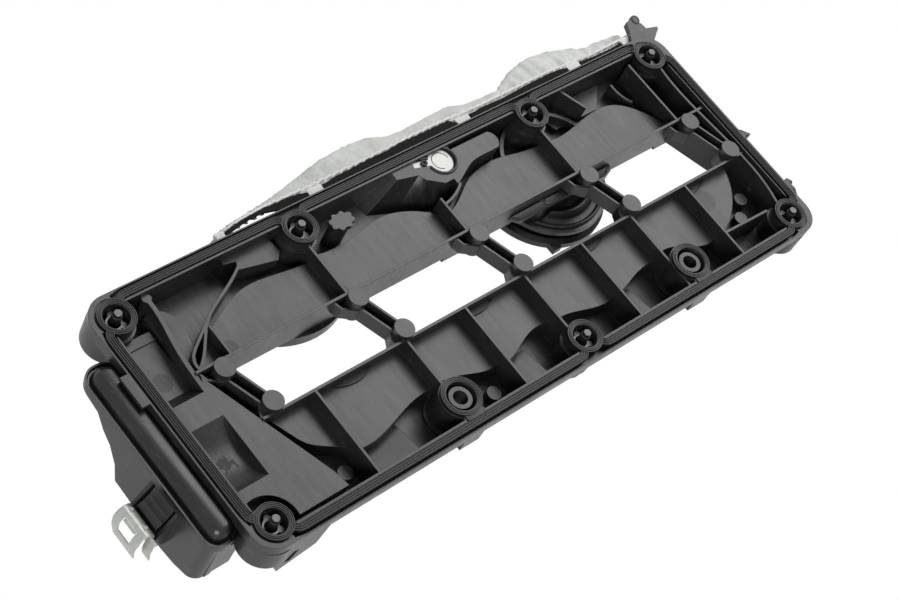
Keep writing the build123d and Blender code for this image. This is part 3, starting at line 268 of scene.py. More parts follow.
def round_edges(width, segments=2):
    """Rounds every edge of the piece in hand."""
    bpy.ops.object.mode_set(mode="EDIT")
    bpy.ops.mesh.select_all(action="SELECT")
    bpy.ops.mesh.bevel(offset=width, segments=segments)
    bpy.ops.object.mode_set(mode="OBJECT")


def turned(middle, steps, segments=72):
    """A ring or solid turned about a vertical axis: each step is a radius and a height.

    Its origin stays at its first step, so its mesh counts heights from there.
    """
    bpy.ops.object.select_all(action="DESELECT")
    radius, height = steps[0]
    bpy.ops.mesh.primitive_circle_add(vertices=segments, radius=radius, location=(*middle, height))
    bpy.ops.object.mode_set(mode="EDIT")
    bpy.ops.mesh.select_all(action="SELECT")
    for next_radius, next_height in steps[1:]:
        rise = (0.0, 0.0, next_height - height)
        bpy.ops.mesh.extrude_edges_move(TRANSFORM_OT_translate={"value": rise})
        ratio = next_radius / radius
        bpy.ops.transform.resize(value=(ratio, ratio, 1.0),
                                 center_override=(*middle, next_height))
        radius, height = next_radius, next_height
    bpy.ops.mesh.select_all(action="SELECT")
    bpy.ops.mesh.remove_doubles(threshold=0.00002)
    turn_faces_out()
    return bpy.context.object


# section of a run: a flat foot and four rounded ridges 1.2 mm apart
RIDGE = [(0.00038, -0.00052), (0.00030, -0.00014), (0.00012, 0.0),
         (-0.00012, 0.0), (-0.00030, -0.00014), (-0.00038, -0.00052)]
outline = [(-0.0022, -0.0030), (0.0022, -0.0030)]
for middle in (0.0018, 0.0006, -0.0006, -0.0018):
    outline += [(middle + across, height) for across, height in RIDGE]
section = bpy.data.curves.new("seal_section", "CURVE")
section.dimensions = "2D"
points = section.splines.new("POLY")
points.points.add(len(outline) - 1)
for point, (across, height) in zip(points.points, outline):
    point.co = (across, height, 0.0, 1.0)
points.use_cyclic_u = True
section_shape = bpy.data.objects.new("seal_section", section)
bpy.context.scene.collection.objects.link(section_shape)


def seal_run(route):
    """Sweeps the ridged section along a route in plan."""
    curve = bpy.data.curves.new("seal_run", "CURVE")
    curve.dimensions = "3D"
    curve.twist_mode = "Z_UP"
    curve.bevel_mode = "OBJECT"
    curve.bevel_object = section_shape
    curve.use_fill_caps = True
    curve.resolution_u = 6
    path = curve.splines.new("NURBS")
    path.points.add(len(route) - 1)
    for point, (x, y) in zip(path.points, route):
        point.co = (x, y, 0.0, 1.0)
    path.order_u = 3
    path.use_endpoint_u = True
    run = bpy.data.objects.new("seal_run", curve)
    bpy.context.scene.collection.objects.link(run)
    only(run)
    bpy.ops.object.convert(target="MESH")
    return bpy.context.object


def ring_end(ring, angle):
    """Where a run that turns in to a ring ends, on the ring's edge."""
    x, y = RINGS[ring]
    return (x + RUN_REACH * math.cos(angle), y + RUN_REACH * math.sin(angle))


runs = []
for first, last, side in ((1, 2, 1.0), (2, 3, 1.0), (3, 4, 1.0), (5, 6, -1.0), (6, 7, -1.0)):
    y = side * SEAL_Y
    x0, x1 = RINGS[first][0] + LONG_LEAVE, RINGS[last][0] - LONG_LEAVE
    route = [ring_end(first, side * (math.pi / 2 - LONG_TURN)), (x0, y - side * RUN_DIP),
             (x0 + RUN_BEND, y), (x0 + RUN_STRAIGHT, y)]
    route += [(x0 + (x1 - x0) * share, y) for share in (0.2, 0.5, 0.8)]
    route += [(x1 - RUN_STRAIGHT, y), (x1 - RUN_BEND, y), (x1, y - side * RUN_DIP),
              ring_end(last, side * (math.pi / 2 + LONG_TURN))]
    runs.append(seal_run(route))
for x, upper, lower, side in ((SEAL_LEFT, 1, 5, -1.0), (SEAL_RIGHT, 4, 7, 1.0)):
    outward = math.pi if side < 0.0 else 0.0
    y0, y1 = RING_Y - SHORT_LEAVE, SHORT_LEAVE - RING_Y
    runs.append(seal_run([
        ring_end(upper, outward - side * SHORT_TURN), (x - side * RUN_DIP, y0),
        (x, y0 - RUN_BEND), (x, y0 - RUN_STRAIGHT), (x, 0.0200), (x, -0.0200),
        (x, y1 + RUN_STRAIGHT), (x, y1 + RUN_BEND), (x - side * RUN_DIP, y1),
        ring_end(lower, outward + side * SHORT_TURN)]))
bpy.data.objects.remove(section_shape)


def ridged_ring(middle, ridges, hole):
    """A ring with three ridges on top and a chamfer down to its hole."""
    outer = ridges[0] + 0.0003
    steps = [(outer, -0.0020), (outer, -0.0004)]
    for radius in ridges:
        steps += [(radius + 0.00024, -0.00006), (radius, 0.0), (radius - 0.00024, -0.00006),
                  (radius - 0.00034, -0.00045), (radius - 0.00060, -0.00048)]
    steps += [(ridges[-1] - 0.0009, -0.0004), (hole + 0.0001, -0.0016), (hole, -0.0020),
              (outer, -0.0020)]
    return turned(middle, steps)


rings = [ridged_ring(middle, RING_RIDGES, RING_HOLE) for middle in RINGS.values()]
for middle in TUBES:
    rings.append(ridged_ring(middle, TUBE_RIDGES, TUBE_HOLE))
    # flat bridge between the tube's ring and the run
    rings.append(block((middle[0], -0.0695, -0.00125), (0.0125, 0.0050, 0.0015)))
    round_edges(0.0003)
seal = joined(runs + rings)
bpy.ops.object.shade_smooth_by_angle(angle=math.radians(50.0))
settle(seal, "ridged_seal", seal_rubber)
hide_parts("perimeter_gasket")

# Fasteners: seven captive M6 bolts in black zinc plate. Their heads are under the cover,
# and each tip stands in its ring, with a painted highlight on its top face. A grey
# phosphated sleeve with three fingers and a rubber grommet hold each bolt.
bolt_steel, tree, surface = new_material("black_zinc_plated_steel")
place = add(tree, "TexCoord").outputs["Object"]
# the plating is charcoal, mottled 1 mm across, and the tip's top face is painted pale grey as a
# painted highlight
patina = add(tree, "TexNoise", {"Vector": place, "Scale": 900.0, "Detail": 4.0})
dull = add(tree, "MixRGB", {"Fac": patina, "Color1": linear("#101012"),
                            "Color2": linear("#222224")})
pale = add(tree, "MixRGB", {"Fac": patina, "Color1": linear("#3c3c3a"),
                            "Color2": linear("#7c7c78")})
height = add(tree, "SeparateXYZ", {0: place}).outputs["Z"]
# painted highlight: the top 0.2 mm of the bolt, its flat tip face and chamfer, is painted pale grey
tip_highlight = add(tree, "MapRange", {"Value": height, "From Min": 0.0027, "From Max": 0.0029})
base = add(tree, "MixRGB", {"Fac": tip_highlight, "Color1": dull, "Color2": pale})
feed(tree, surface, {"Base Color": base, "Metallic": 0.5, "Roughness": 0.55})

sleeve_steel, tree, surface = new_material("grey_phosphated_steel")
place = add(tree, "TexCoord").outputs["Object"]
# phosphate leaves a dry mid grey, clouded 1.7 mm across, with only a dull shine
patina = add(tree, "TexNoise", {"Vector": place, "Scale": 600.0, "Detail": 4.0})
base = add(tree, "MixRGB", {"Fac": patina, "Color1": linear("#5c5c5a"),
                            "Color2": linear("#90908c")})
feed(tree, surface, {"Base Color": base, "Metallic": 0.4, "Roughness": 0.5})

grommet_rubber, tree, surface = new_material("black_nitrile_rubber")
place = add(tree, "TexCoord").outputs["Object"]
# nitrile is matt and deep black, with a faint bloom in patches 3 mm across
bloom = add(tree, "TexNoise", {"Vector": place, "Scale": 300.0, "Detail": 4.0})
base = add(tree, "MixRGB", {"Fac": bloom, "Color1": linear("#0a0a0a"), "Color2": linear("#141414")})
feed(tree, surface, {"Base Color": base, "Roughness": 0.7})

THREAD_RADIUS, THREAD_PITCH, THREAD_DEPTH = 0.0027, 0.0010, 0.00055
THREAD_LOW, THREAD_TOP = -0.0052, 0.0005
# a row of points every eighth of the pitch
LEVEL = THREAD_PITCH / 8
# a turned solid's ends start this near the axis, where their points merge
AXIS_RADIUS = 0.00001
HEX_RADIUS, HEX_DEPTH, HEX_HEIGHT = 0.0056, 0.0036, -0.0311


def copied(piece, x, y=0.0):
    """A copy of a piece, with its own mesh, moved in plan."""
    only(piece)
    bpy.ops.object.duplicate()
    copy = bpy.context.object
    copy.location = (x, y, 0.0)
    return copy


level_count = int((THREAD_TOP - THREAD_LOW) / LEVEL) + 1
bolt_steps = [(AXIS_RADIUS, -0.0295), (0.0065, -0.0295), (0.0066, -0.0292), (0.0066, -0.0282),
              (0.0064, -0.0280), (0.0024, -0.0280), (0.0024, -0.0056)]
bolt_steps += [(THREAD_RADIUS, THREAD_LOW + LEVEL * step) for step in range(level_count)]
bolt_steps += [(0.0021, 0.0008), (0.0021, 0.0028), (0.0019, 0.0030), (AXIS_RADIUS, 0.0030)]
bolt = turned((0.0, 0.0), bolt_steps, 32)
# Known fault: this was to cut the thread, but the mesh still counts heights from its first
# step, so it scallops the lower rim of the head's flange by up to 1.3 mm instead, and the
# shank stays plain.
for vertex in bolt.data.vertices:
    if THREAD_LOW - 0.00005 < vertex.co.z < THREAD_TOP + 0.00005:
        angle = math.atan2(vertex.co.y, vertex.co.x) / math.tau
        phase = (vertex.co.z / THREAD_PITCH - angle) % 1.0
        depth = THREAD_DEPTH * abs(2.0 * phase - 1.0)
        vertex.co.xy *= (THREAD_RADIUS - depth) / THREAD_RADIUS
bpy.ops.object.select_all(action="DESELECT")
bpy.ops.mesh.primitive_cylinder_add(vertices=6, radius=HEX_RADIUS, depth=HEX_DEPTH,
                                    location=(0.0, 0.0, HEX_HEIGHT))
round_edges(0.0004)
bolt = joined([bolt, bpy.context.object])
bpy.ops.object.transform_apply(location=True)
bpy.ops.object.shade_smooth_by_angle(angle=math.radians(35.0))
for number, middle in RINGS.items():
    copy = copied(bolt, *middle)
    settle(copy, f"threaded_bolt_{number}", bolt_steel)
    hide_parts(f"captive_bolt_{number}")
    wear(cad[f"bolt_sleeve_{number}"], sleeve_steel)
    wear(cad[f"bolt_grommet_{number}"], grommet_rubber)
bpy.data.objects.remove(bolt)

# Reed valve: a stamped stainless reed with a C-shaped slit, held down by one dark socket
# screw on its tab, on a raised seat in the cover.
SEAT = (0.0235, 0.0634)
SLIT_RADIUS, SLIT_HALF_WIDTH = 0.0053, 0.00028
# the slit is left open where it faces the post beside it
SLIT_FACING, SLIT_END = (0.62, -0.78, 0.0), 0.0034
reed_steel, tree, surface = new_material("stamped_stainless_strip")
place = add(tree, "TexCoord").outputs["Object"]
# rolled strip is bright and satin, with lines drawn 0.5 mm apart, coarser than they are
rolled = add(tree, "Mapping", {"Vector": place, "Scale": (2200.0, 160.0, 160.0)})
lines = add(tree, "TexNoise", {"Vector": rolled, "Scale": 1.0, "Detail": 3.0})
base = add(tree, "MixRGB", {"Fac": lines, "Color1": linear("#939491"), "Color2": linear("#b2b3b0")})
centred = add(tree, "VectorMath", {0: place, 1: (*SEAT, 0.0)}, operation="SUBTRACT")
centred = add(tree, "VectorMath", {0: centred, 1: (1.0, 1.0, 0.0)}, operation="MULTIPLY")
away = add(tree, "VectorMath", {0: centred}, operation="LENGTH").outputs["Value"]
off_slit = add(tree, "Math", {0: away, 1: SLIT_RADIUS}, operation="SUBTRACT")
off_slit = add(tree, "Math", {0: off_slit}, operation="ABSOLUTE")
in_slit = add(tree, "Math", {0: off_slit, 1: SLIT_HALF_WIDTH}, operation="LESS_THAN")
facing = add(tree, "VectorMath", {0: centred, 1: SLIT_FACING},
             operation="DOT_PRODUCT").outputs["Value"]
cut = add(tree, "Math", {0: facing, 1: SLIT_END}, operation="LESS_THAN")
slit = add(tree, "Math", {0: in_slit, 1: cut}, operation="MULTIPLY")
base = add(tree, "MixRGB", {"Fac": slit, "Color1": base, "Color2": linear("#141414")})
shine = add(tree, "MapRange", {"Value": lines, "To Min": 0.42, "To Max": 0.6})
feed(tree, surface, {"Base Color": base, "Metallic": 0.6, "Roughness": shine})
wear(cad["valve_reed_plate"], reed_steel)
wear(cad["valve_screw"], bolt_steel)
# raised nylon lip round the seat, which dips to let the reed's tab out
TAB_ANGLE, TAB_HALF_ANGLE, TAB_GAP_HEIGHT = math.radians(165.8), 0.36, -0.0058
lip = turned(SEAT, [(0.0098, -0.0062), (0.0098, -0.0022), (0.0095, -0.0017), (0.0088, -0.0015),
                    (0.0084, -0.0019), (0.0083, -0.0062), (0.0098, -0.0062)], 96)
bpy.ops.object.transform_apply(location=True)
for vertex in lip.data.vertices:
    angle = math.atan2(vertex.co.y - SEAT[1], vertex.co.x - SEAT[0])
    off_tab = abs((angle - TAB_ANGLE + math.pi) % math.tau - math.pi)
    if off_tab < TAB_HALF_ANGLE:
        vertex.co.z = min(vertex.co.z, TAB_GAP_HEIGHT)
bpy.ops.object.shade_smooth_by_angle(angle=math.radians(40.0))
settle(lip, "reed_seat_lip", cover_nylon)

# Spring clip: one strip of zinc-plated spring steel, pierced with a window, bent over and
# pressed on the housing's bracket. The plating is pale and mottled 4 mm across.
clip_steel, tree, surface = new_material("zinc_plated_spring_strip")
place = add(tree, "TexCoord").outputs["Object"]
spangle = add(tree, "TexNoise", {"Vector": place, "Scale": 260.0, "Detail": 5.0})
base = add(tree, "MixRGB", {"Fac": spangle, "Color1": linear("#8f928c"),
                            "Color2": linear("#bcbfb9")})
feed(tree, surface, {"Base Color": base, "Metallic": 0.45, "Roughness": 0.42})

# side lines of the clip and of the leaf inside it, from the bracket's foot over the bend
CLIP_SIDE = [(-0.2354, -0.0410), (-0.2354, -0.0345), (-0.2376, -0.0315), (-0.2376, -0.0280),
             (-0.2385, -0.0252), (-0.2404, -0.0238), (-0.2428, -0.0235), (-0.2448, -0.0246),
             (-0.2461, -0.0266), (-0.2467, -0.0292), (-0.2468, -0.0320), (-0.2466, -0.0350),
             (-0.2456, -0.0390), (-0.2444, -0.0430), (-0.2432, -0.0470)]
LEAF_SIDE = [(-0.2398, -0.0250), (-0.2410, -0.0262), (-0.2414, -0.0290), (-0.2416, -0.0330),
             (-0.2410, -0.0370), (-0.2398, -0.0420)]
CLIP_EDGES, LEAF_EDGES = (-0.0335, -0.0140), (-0.0382, -0.0325)
# the legs get narrower on each side from this step of the side line to its end
LEG_STEP, LEG_NARROWING = 9, 0.0015
# the window reaches from one step to another and across these twelfths of the strip
WINDOW_STEPS, WINDOW_TWELFTHS = range(7, 12), range(3, 10)


def bent_strip(side, edges, thickness, pierced=False):
    """A strip bent along a side line. A pierced one has a window and tapered legs."""
    low, high = edges
    last = len(side) - 1
    bpy.ops.object.select_all(action="DESELECT")
    bpy.ops.mesh.primitive_grid_add(x_subdivisions=last, y_subdivisions=12, size=1.0)
    strip = bpy.context.object
    bpy.ops.object.mode_set(mode="EDIT")
    bpy.ops.mesh.select_all(action="DESELECT")
    bpy.ops.object.mode_set(mode="OBJECT")
    for vertex in strip.data.vertices:
        share = vertex.co.y + 0.5
        step, twelfth = round((vertex.co.x + 0.5) * last), round(share * 12)
        narrow = 0.0
        if pierced:
            narrow = LEG_NARROWING * max(0.0, (step - LEG_STEP) / (last - LEG_STEP))
        width = high - low - 2.0 * narrow
        vertex.co = (side[step][0], low + narrow + width * share, side[step][1])
        vertex.select = pierced and step in WINDOW_STEPS and twelfth in WINDOW_TWELFTHS
    bpy.ops.object.mode_set(mode="EDIT")
    if pierced:
        bpy.ops.mesh.delete(type="FACE")
    turn_faces_out()
    thick = strip.modifiers.new("thick", "SOLIDIFY")
    thick.thickness, thick.offset = thickness, 0.0
    bpy.ops.object.modifier_apply(modifier="thick")
    edge = strip.modifiers.new("edge", "BEVEL")
    edge.width, edge.segments, edge.limit_method = 0.00018, 2, "ANGLE"
    bpy.ops.object.modifier_apply(modifier="edge")
    return strip


clip_strip = bent_strip(CLIP_SIDE, CLIP_EDGES, 0.0008, pierced=True)
leaf = bent_strip(LEAF_SIDE, LEAF_EDGES, 0.0007)
# a raised bar above the window, and two barbs on the bend
bpy.ops.object.select_all(action="DESELECT")
bpy.ops.mesh.primitive_cylinder_add(vertices=16, radius=0.0011, depth=0.0086,
                                    location=(-0.2452, -0.0238, -0.0252),
                                    rotation=(math.pi / 2, 0.0, 0.0))
bar = bpy.context.object
round_edges(0.0004)
barbs = []
for barb_y in (-0.0176, -0.0290):
    bpy.ops.object.select_all(action="DESELECT")
    bpy.ops.mesh.primitive_cone_add(vertices=4, radius1=0.0016, radius2=0.0002, depth=0.0032,
                                    location=(-0.2408, barb_y, -0.0225), rotation=(0.5, 0.3, 0.0))
    barb = bpy.context.object
    barb.scale = (0.35, 1.0, 1.0)
    barbs.append(barb)
clip = joined([clip_strip, leaf, bar] + barbs)
bpy.ops.object.transform_apply(location=True, rotation=True, scale=True)
bpy.ops.object.shade_smooth_by_angle(angle=math.radians(32.0))
settle(clip, "pierced_spring_clip", clip_steel)
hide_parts("retaining_clip")

# Insulation mat: pale needled fleece on the cover's outer side. Its inner edge is rolled up
# to a hem beside the rail, painted brighter as a highlight, with heat-set tabs between the
# strips, and it falls away from there to a soft, ragged outer edge.
fleece, tree, surface = new_material("needled_insulation_fleece")
place = add(tree, "TexCoord").outputs["Object"]
# fleece is matt and nearly white, greyer in tufts 11 mm across, and painted whitest at the hem and
# tabs, where it stands highest, as a painted highlight
tuft = add(tree, "TexNoise", {"Vector": place, "Scale": 90.0, "Detail": 6.0, "Roughness": 0.7})
tone = add(tree, "MapRange", {"Value": tuft, "From Min": 0.35, "From Max": 0.65})
base = add(tree, "MixRGB", {"Fac": tone, "Color1": linear("#cfd2cd"), "Color2": linear("#e8eae7")})
height = add(tree, "SeparateXYZ", {0: place}).outputs["Z"]
# painted highlight: the mat is painted whiter the higher it stands, fully so on the hem and the
# tabs
hem_highlight = add(tree, "MapRange", {"Value": height, "From Min": -0.0115, "From Max": -0.0085})
base = add(tree, "MixRGB", {"Fac": hem_highlight, "Color1": base, "Color2": linear("#f4f5f3")})
# fibres are drawn 0.7 mm apart, coarser than they are, so that they show
fibre = add(tree, "TexNoise", {"Vector": place, "Scale": 1500.0, "Detail": 4.0, "Roughness": 0.8})
bump = add(tree, "Bump", {"Height": fibre, "Strength": 0.35, "Distance": 0.0003})
feed(tree, surface, {"Base Color": base, "Roughness": 0.9, "Normal": bump,
                     "Specular IOR Level": 0.2})

# the mat's outer edge and its hem in plan, in millimetres
MAT_OUTER = [(-118.5, 85.0), (-106.5, 87.7), (-94.4, 90.4), (-86.0, 92.5), (-72.7, 94.0),
             (-58.8, 96.2), (-44.1, 99.1), (-37.6, 100.5), (-26.7, 102.4), (-17.4, 102.9),
             (-7.5, 103.4), (6.7, 102.6), (19.6, 97.9), (30.7, 97.4), (44.3, 98.0), (56.3, 98.5),
             (67.3, 98.7), (78.7, 95.2), (91.2, 94.8), (103.9, 94.4), (110.6, 97.7),
             (119.9, 101.7), (132.0, 104.2), (142.4, 105.0), (152.9, 103.6), (164.1, 101.1),
             (175.6, 96.7), (181.6, 94.8), (189.5, 95.7), (197.2, 94.6), (208.0, 93.6)]
MAT_HEM = [(-118.5, 80.8), (-106.0, 83.2), (-86.0, 84.3), (-71.0, 83.9), (-58.0, 83.6),
           (-39.0, 83.5), (0.0, 83.9), (22.0, 84.5), (48.0, 84.3), (73.0, 83.2), (111.0, 83.6),
           (130.0, 83.8), (150.0, 82.8), (166.0, 81.6), (192.0, 82.2), (208.0, 82.2)]
MAT_LEFT, MAT_RIGHT = -118.5, 208.0
HEM_HEIGHT, HEM_TUCK_HEIGHT, HEM_WIDTH, HEM_GAP = -6.2, -9.0, 0.7, 0.5
# how far the mat falls beside the hem, and over what width
MAT_FALL, MAT_FALL_WIDTH = 13.3, 5.5
FOLD_PITCH = 5.6
# the hem's folds are deep on the left, and the mat's creases are deep on the right
DEEP_FOLDS, DEEP_CREASES_FROM = (-110.0, 50.0), 88.0


def along(line, x):
    """The height of a broken line at x, all in millimetres."""
    for (x0, y0), (x1, y1) in zip(line, line[1:]):
        if x <= x1:
            return y0 + (y1 - y0) * max(0.0, (x - x0) / (x1 - x0))
    return line[-1][1]


def waver(x, y, z):
    """Smooth, repeatable unevenness between about -1 and 1."""
    return noise.noise(Vector((x, y, z)))


bpy.ops.object.select_all(action="DESELECT")
bpy.ops.mesh.primitive_grid_add(x_subdivisions=420, y_subdivisions=44, size=1.0)
mat = bpy.context.object
for vertex in mat.data.vertices:
    x = MAT_LEFT + (vertex.co.x + 0.5) * (MAT_RIGHT - MAT_LEFT)
    share = vertex.co.y + 0.5
    inner = along(MAT_HEM, x) + HEM_GAP
    outer = along(MAT_OUTER, x)
    outer += 0.5 * waver(x * 0.35, 3.0, 0.0) + 0.35 * waver(x * 1.3, 7.0, 0.0)
    width = outer - inner
    # the hem rolls up over the first millimetre, then the mat falls away over the next five
    y = inner + width * share ** 1.15
    out = y - inner
    drop = min(1.0, max(0.0, (out - HEM_WIDTH) / min(MAT_FALL_WIDTH, 0.8 * width)))
    fall = drop * drop * (3.0 - 2.0 * drop)
    z = HEM_HEIGHT - MAT_FALL * fall - 0.5 * max(0.0, HEM_WIDTH - out)
    # the hem's first rows are tucked in under it
    if share < 0.03:
        y, z = inner - 0.1, HEM_TUCK_HEIGHT
    # the mat swells in its middle, and the outer seventh of its width hangs down
    edge = max(0.0, (share - 0.86) / 0.14)
    z += math.sin(math.pi * min(1.0, share)) * 0.09 * width * fall - 1.6 * edge * edge
    # folds lie across the mat, soft but for the deep ones, and creases run through them
    fold = math.sin(math.tau * x / FOLD_PITCH + 0.25 * out + 1.5 * waver(x * 0.05, y * 0.1, 0.0))
    deep = 0.29 if DEEP_FOLDS[0] < x < DEEP_FOLDS[1] and out < 3.5 else 0.05
    z += deep * fold * (1.0 - 0.6 * edge)
    z += (1.3 if x > DEEP_CREASES_FROM else 0.4) * waver(x * 0.16, y * 0.10, 1.7) * fall
    z += 0.16 * waver(x * 0.8, y * 0.8, 4.0) * fall
    vertex.co = (x / 1000.0, y / 1000.0, z / 1000.0)
thickness = mat.modifiers.new("thickness", "SOLIDIFY")
thickness.thickness, thickness.offset = 0.0026, -1.0
bpy.ops.object.modifier_apply(modifier="thickness")

# heat-set tabs: where each starts and ends along the hem, in millimetres
TABS = [(-120.5, -114.8), (-57.7, -47.6), (52.7, 62.8), (144.5, 154.7), (192.0, 202.6)]
TAB_Y, TAB_HEIGHT, TAB_WIDTH, TAB_THICKNESS, TAB_BUMPS = 0.0803, -0.0074, 0.0058, 0.0024, 0.0003
# noise_vector starts from a random place unless it is seeded
noise.seed_set(7)
tabs = []
for tab_low, tab_high in TABS:
    tab = block(((tab_low + tab_high) / 2000.0, TAB_Y, TAB_HEIGHT),
                ((tab_high - tab_low) / 1000.0, TAB_WIDTH, TAB_THICKNESS))
    bpy.ops.object.mode_set(mode="EDIT")
    bpy.ops.mesh.select_all(action="SELECT")
    bpy.ops.mesh.subdivide(number_cuts=5)
    bpy.ops.object.mode_set(mode="OBJECT")
    for vertex in tab.data.vertices:
        vertex.co += TAB_BUMPS * noise.noise_vector(vertex.co * 600.0)
    rounding = tab.modifiers.new("rounding", "SUBSURF")
    rounding.levels = rounding.render_levels = 1
    bpy.ops.object.modifier_apply(modifier="rounding")
    tabs.append(tab)
mat = joined([mat] + tabs)
bpy.ops.object.shade_smooth()
settle(mat, "fleece_mat", fleece)
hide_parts("insulation_mat")

# Foam tape: four ragged strips of self-adhesive black foam, stuck on the mat's inner edge
# between its tabs. Their skin is matt and pitted.
strip_foam, tree, surface = new_material("black_foam_tape")
place = add(tree, "TexCoord").outputs["Object"]
# cells are drawn 1 mm across, coarser than they are, so that they show
cell = add(tree, "TexNoise", {"Vector": place, "Scale": 900.0, "Detail": 4.0})
base = add(tree, "MixRGB", {"Fac": cell, "Color1": linear("#070707"), "Color2": linear("#151514")})
bump = add(tree, "Bump", {"Height": cell, "Strength": 0.4, "Distance": 0.0004})
feed(tree, surface, {"Base Color": base, "Roughness": 0.85, "Normal": bump,
                     "Specular IOR Level": 0.2})

# thickness in metres, then the outer and the inner edge in millimetres
TAPES = [
    (0.0012,
     [(-114.5, 81.5), (-107.1, 83.0), (-97.6, 83.9), (-86.2, 84.5), (-79.8, 84.0), (-71.2, 84.0),
      (-62.9, 83.2), (-58.0, 81.5)],
     [(-114.5, 79.2), (-106.7, 81.2), (-96.2, 82.2), (-87.0, 82.0), (-80.3, 80.2), (-71.1, 78.2),
      (-65.3, 78.9), (-58.0, 79.0)]),
    (0.0028,
     [(-47.6, 81.5), (-39.0, 83.1), (-26.2, 83.3), (-12.0, 83.9), (-0.1, 83.7), (11.9, 84.6),
      (22.1, 84.3), (35.0, 84.2), (47.9, 84.2), (52.8, 80.6)],
     [(-47.6, 78.5), (-30.0, 78.7), (-11.5, 79.0), (6.8, 78.6), (26.1, 79.0), (39.2, 77.9),
      (47.4, 78.4), (52.8, 77.8)]),
    (0.0028,
     [(63.9, 81.9), (73.6, 82.7), (91.6, 82.3), (111.0, 83.2), (130.3, 83.5), (139.5, 83.0),
      (144.6, 81.8)],
     [(63.9, 78.0), (78.4, 77.8), (101.4, 77.8), (123.8, 78.8), (135.3, 78.5), (144.6, 79.2)]),
    (0.0028,
     [(155.6, 82.0), (166.1, 81.1), (179.2, 81.0), (191.9, 81.6)],
     [(155.6, 79.5), (163.7, 78.6), (176.3, 78.0), (191.9, 78.9)]),
]
for number, (tape_thickness, tape_outer, tape_inner) in enumerate(TAPES, 1):
    first, last = tape_outer[0][0], tape_outer[-1][0]
    bpy.ops.object.select_all(action="DESELECT")
    bpy.ops.mesh.primitive_grid_add(x_subdivisions=int((last - first) / 0.7), y_subdivisions=6,
                                    size=1.0)
    tape = bpy.context.object
    for vertex in tape.data.vertices:
        x = first + (vertex.co.x + 0.5) * (last - first)
        share = vertex.co.y + 0.5
        inner, outer = along(tape_inner, x), along(tape_outer, x)
        # the long edges and the cut ends are ragged
        ragged = 0.35 * waver(x * 0.9, share * 4.0, number)
        y = inner + (outer - inner) * share + ragged * (1.0 if share in (0.0, 1.0) else 0.3)
        z = HEM_HEIGHT + 0.25 * waver(x * 0.4, share * 2.0, 9.0)
        if vertex.co.x in (-0.5, 0.5):
            x += 0.9 * waver(share * 5.0, number, first)
        vertex.co = (x / 1000.0, y / 1000.0, z / 1000.0)
    thickness = tape.modifiers.new("thickness", "SOLIDIFY")
    thickness.thickness, thickness.offset = tape_thickness, -1.0
    bpy.ops.object.modifier_apply(modifier="thickness")
    bpy.ops.object.shade_smooth_by_angle(angle=math.radians(40.0))
    settle(tape, f"foam_tape_{number}", strip_foam)
    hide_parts(f"mat_edge_strip_{number}")

# Breather: nylon cap with a wire spring behind it, and a moulded bellows whose rounded
# folds show through the middle windows. Its nylon is brownish black and satin.
cap_nylon = nylon("moulded_nylon_brown_black", "#0e0c0a", "#1a1714", 0.42)
wear(cad["breather_cap"], cap_nylon)
wear(cad["breather_diaphragm"], grommet_rubber)
wear(cad["breather_spring"], bolt_steel)
BREATHER, BELLOWS_END = (0.0970, 0.0370), 0.0150
FOLDS = [(0.0365, -0.0299), (0.0365, -0.0288), (0.0360, -0.0283), (0.0352, -0.0282),
         (0.0345, -0.0286), (0.0338, -0.0296), (0.0310, -0.0297), (0.0298, -0.0290),
         (0.0288, -0.0272), (0.0278, -0.0262), (0.0267, -0.0259), (0.0256, -0.0263),
         (0.0246, -0.0274), (0.0238, -0.0290), (0.0222, -0.0294), (0.0206, -0.0290),
         (0.0196, -0.0274), (0.0184, -0.0266), (0.0170, -0.0268), (0.0160, -0.0280),
         (0.0160, -0.0299)]


def cut_off_above(y):
    """Cuts off what the piece in hand has above y in plan, and closes the cut."""
    bpy.ops.object.mode_set(mode="EDIT")
    bpy.ops.mesh.select_all(action="SELECT")
    bpy.ops.mesh.bisect(plane_co=(0.0, y, 0.0), plane_no=(0.0, 1.0, 0.0), use_fill=True,
                        clear_outer=True)
    turn_faces_out()


bellows = turned(BREATHER, FOLDS, 128)
bpy.ops.object.transform_apply(location=True)
cut_off_above(BELLOWS_END)
bpy.ops.object.shade_smooth_by_angle(angle=math.radians(50.0))
settle(bellows, "breather_bellows", cap_nylon)

# Ledge: a nylon lip moulded along the foot of the middle wall, over the breather's neck.
# Its lower side is a little deeper than the upper one, and drawn in at both ends.
LEDGE_MIDDLE, LEDGE_SIZE = Vector((0.0845, 0.0171, -0.0151)), (0.0820, 0.0046, 0.0042)
ledge = block(LEDGE_MIDDLE, LEDGE_SIZE)
for vertex in ledge.data.vertices:
    if vertex.co.y < LEDGE_MIDDLE.y:
        vertex.co.z -= 0.0012
        vertex.co.x += 0.0060 if vertex.co.x < LEDGE_MIDDLE.x else -0.0060
round_edges(0.0008, segments=3)
bpy.ops.object.shade_smooth_by_angle(angle=math.radians(35.0))
settle(ledge, "neck_ledge", cover_nylon)

# Well rims: four thin curved ribs moulded on the lower floors, one at each cylinder, where
# the injector's seal comes down beside the lower wall.
CYLINDER_PITCH, FIRST_WELL, WELL_Y, RIM_END = 0.0880, -0.1044, 0.0049, -0.0174
rim = turned((0.0, WELL_Y), [(0.0259, -0.0124), (0.0259, -0.0112), (0.0257, -0.0108),
                             (0.0252, -0.0108), (0.0250, -0.0112), (0.0250, -0.0124),
                             (0.0259, -0.0124)], 160)
bpy.ops.object.transform_apply(location=True)
cut_off_above(RIM_END)
bpy.ops.object.shade_smooth_by_angle(angle=math.radians(40.0))
for cylinder in range(4):
    copy = copied(rim, FIRST_WELL + CYLINDER_PITCH * cylinder)
    settle(copy, f"well_rim_{cylinder + 1}", cover_nylon)
bpy.data.objects.remove(rim)

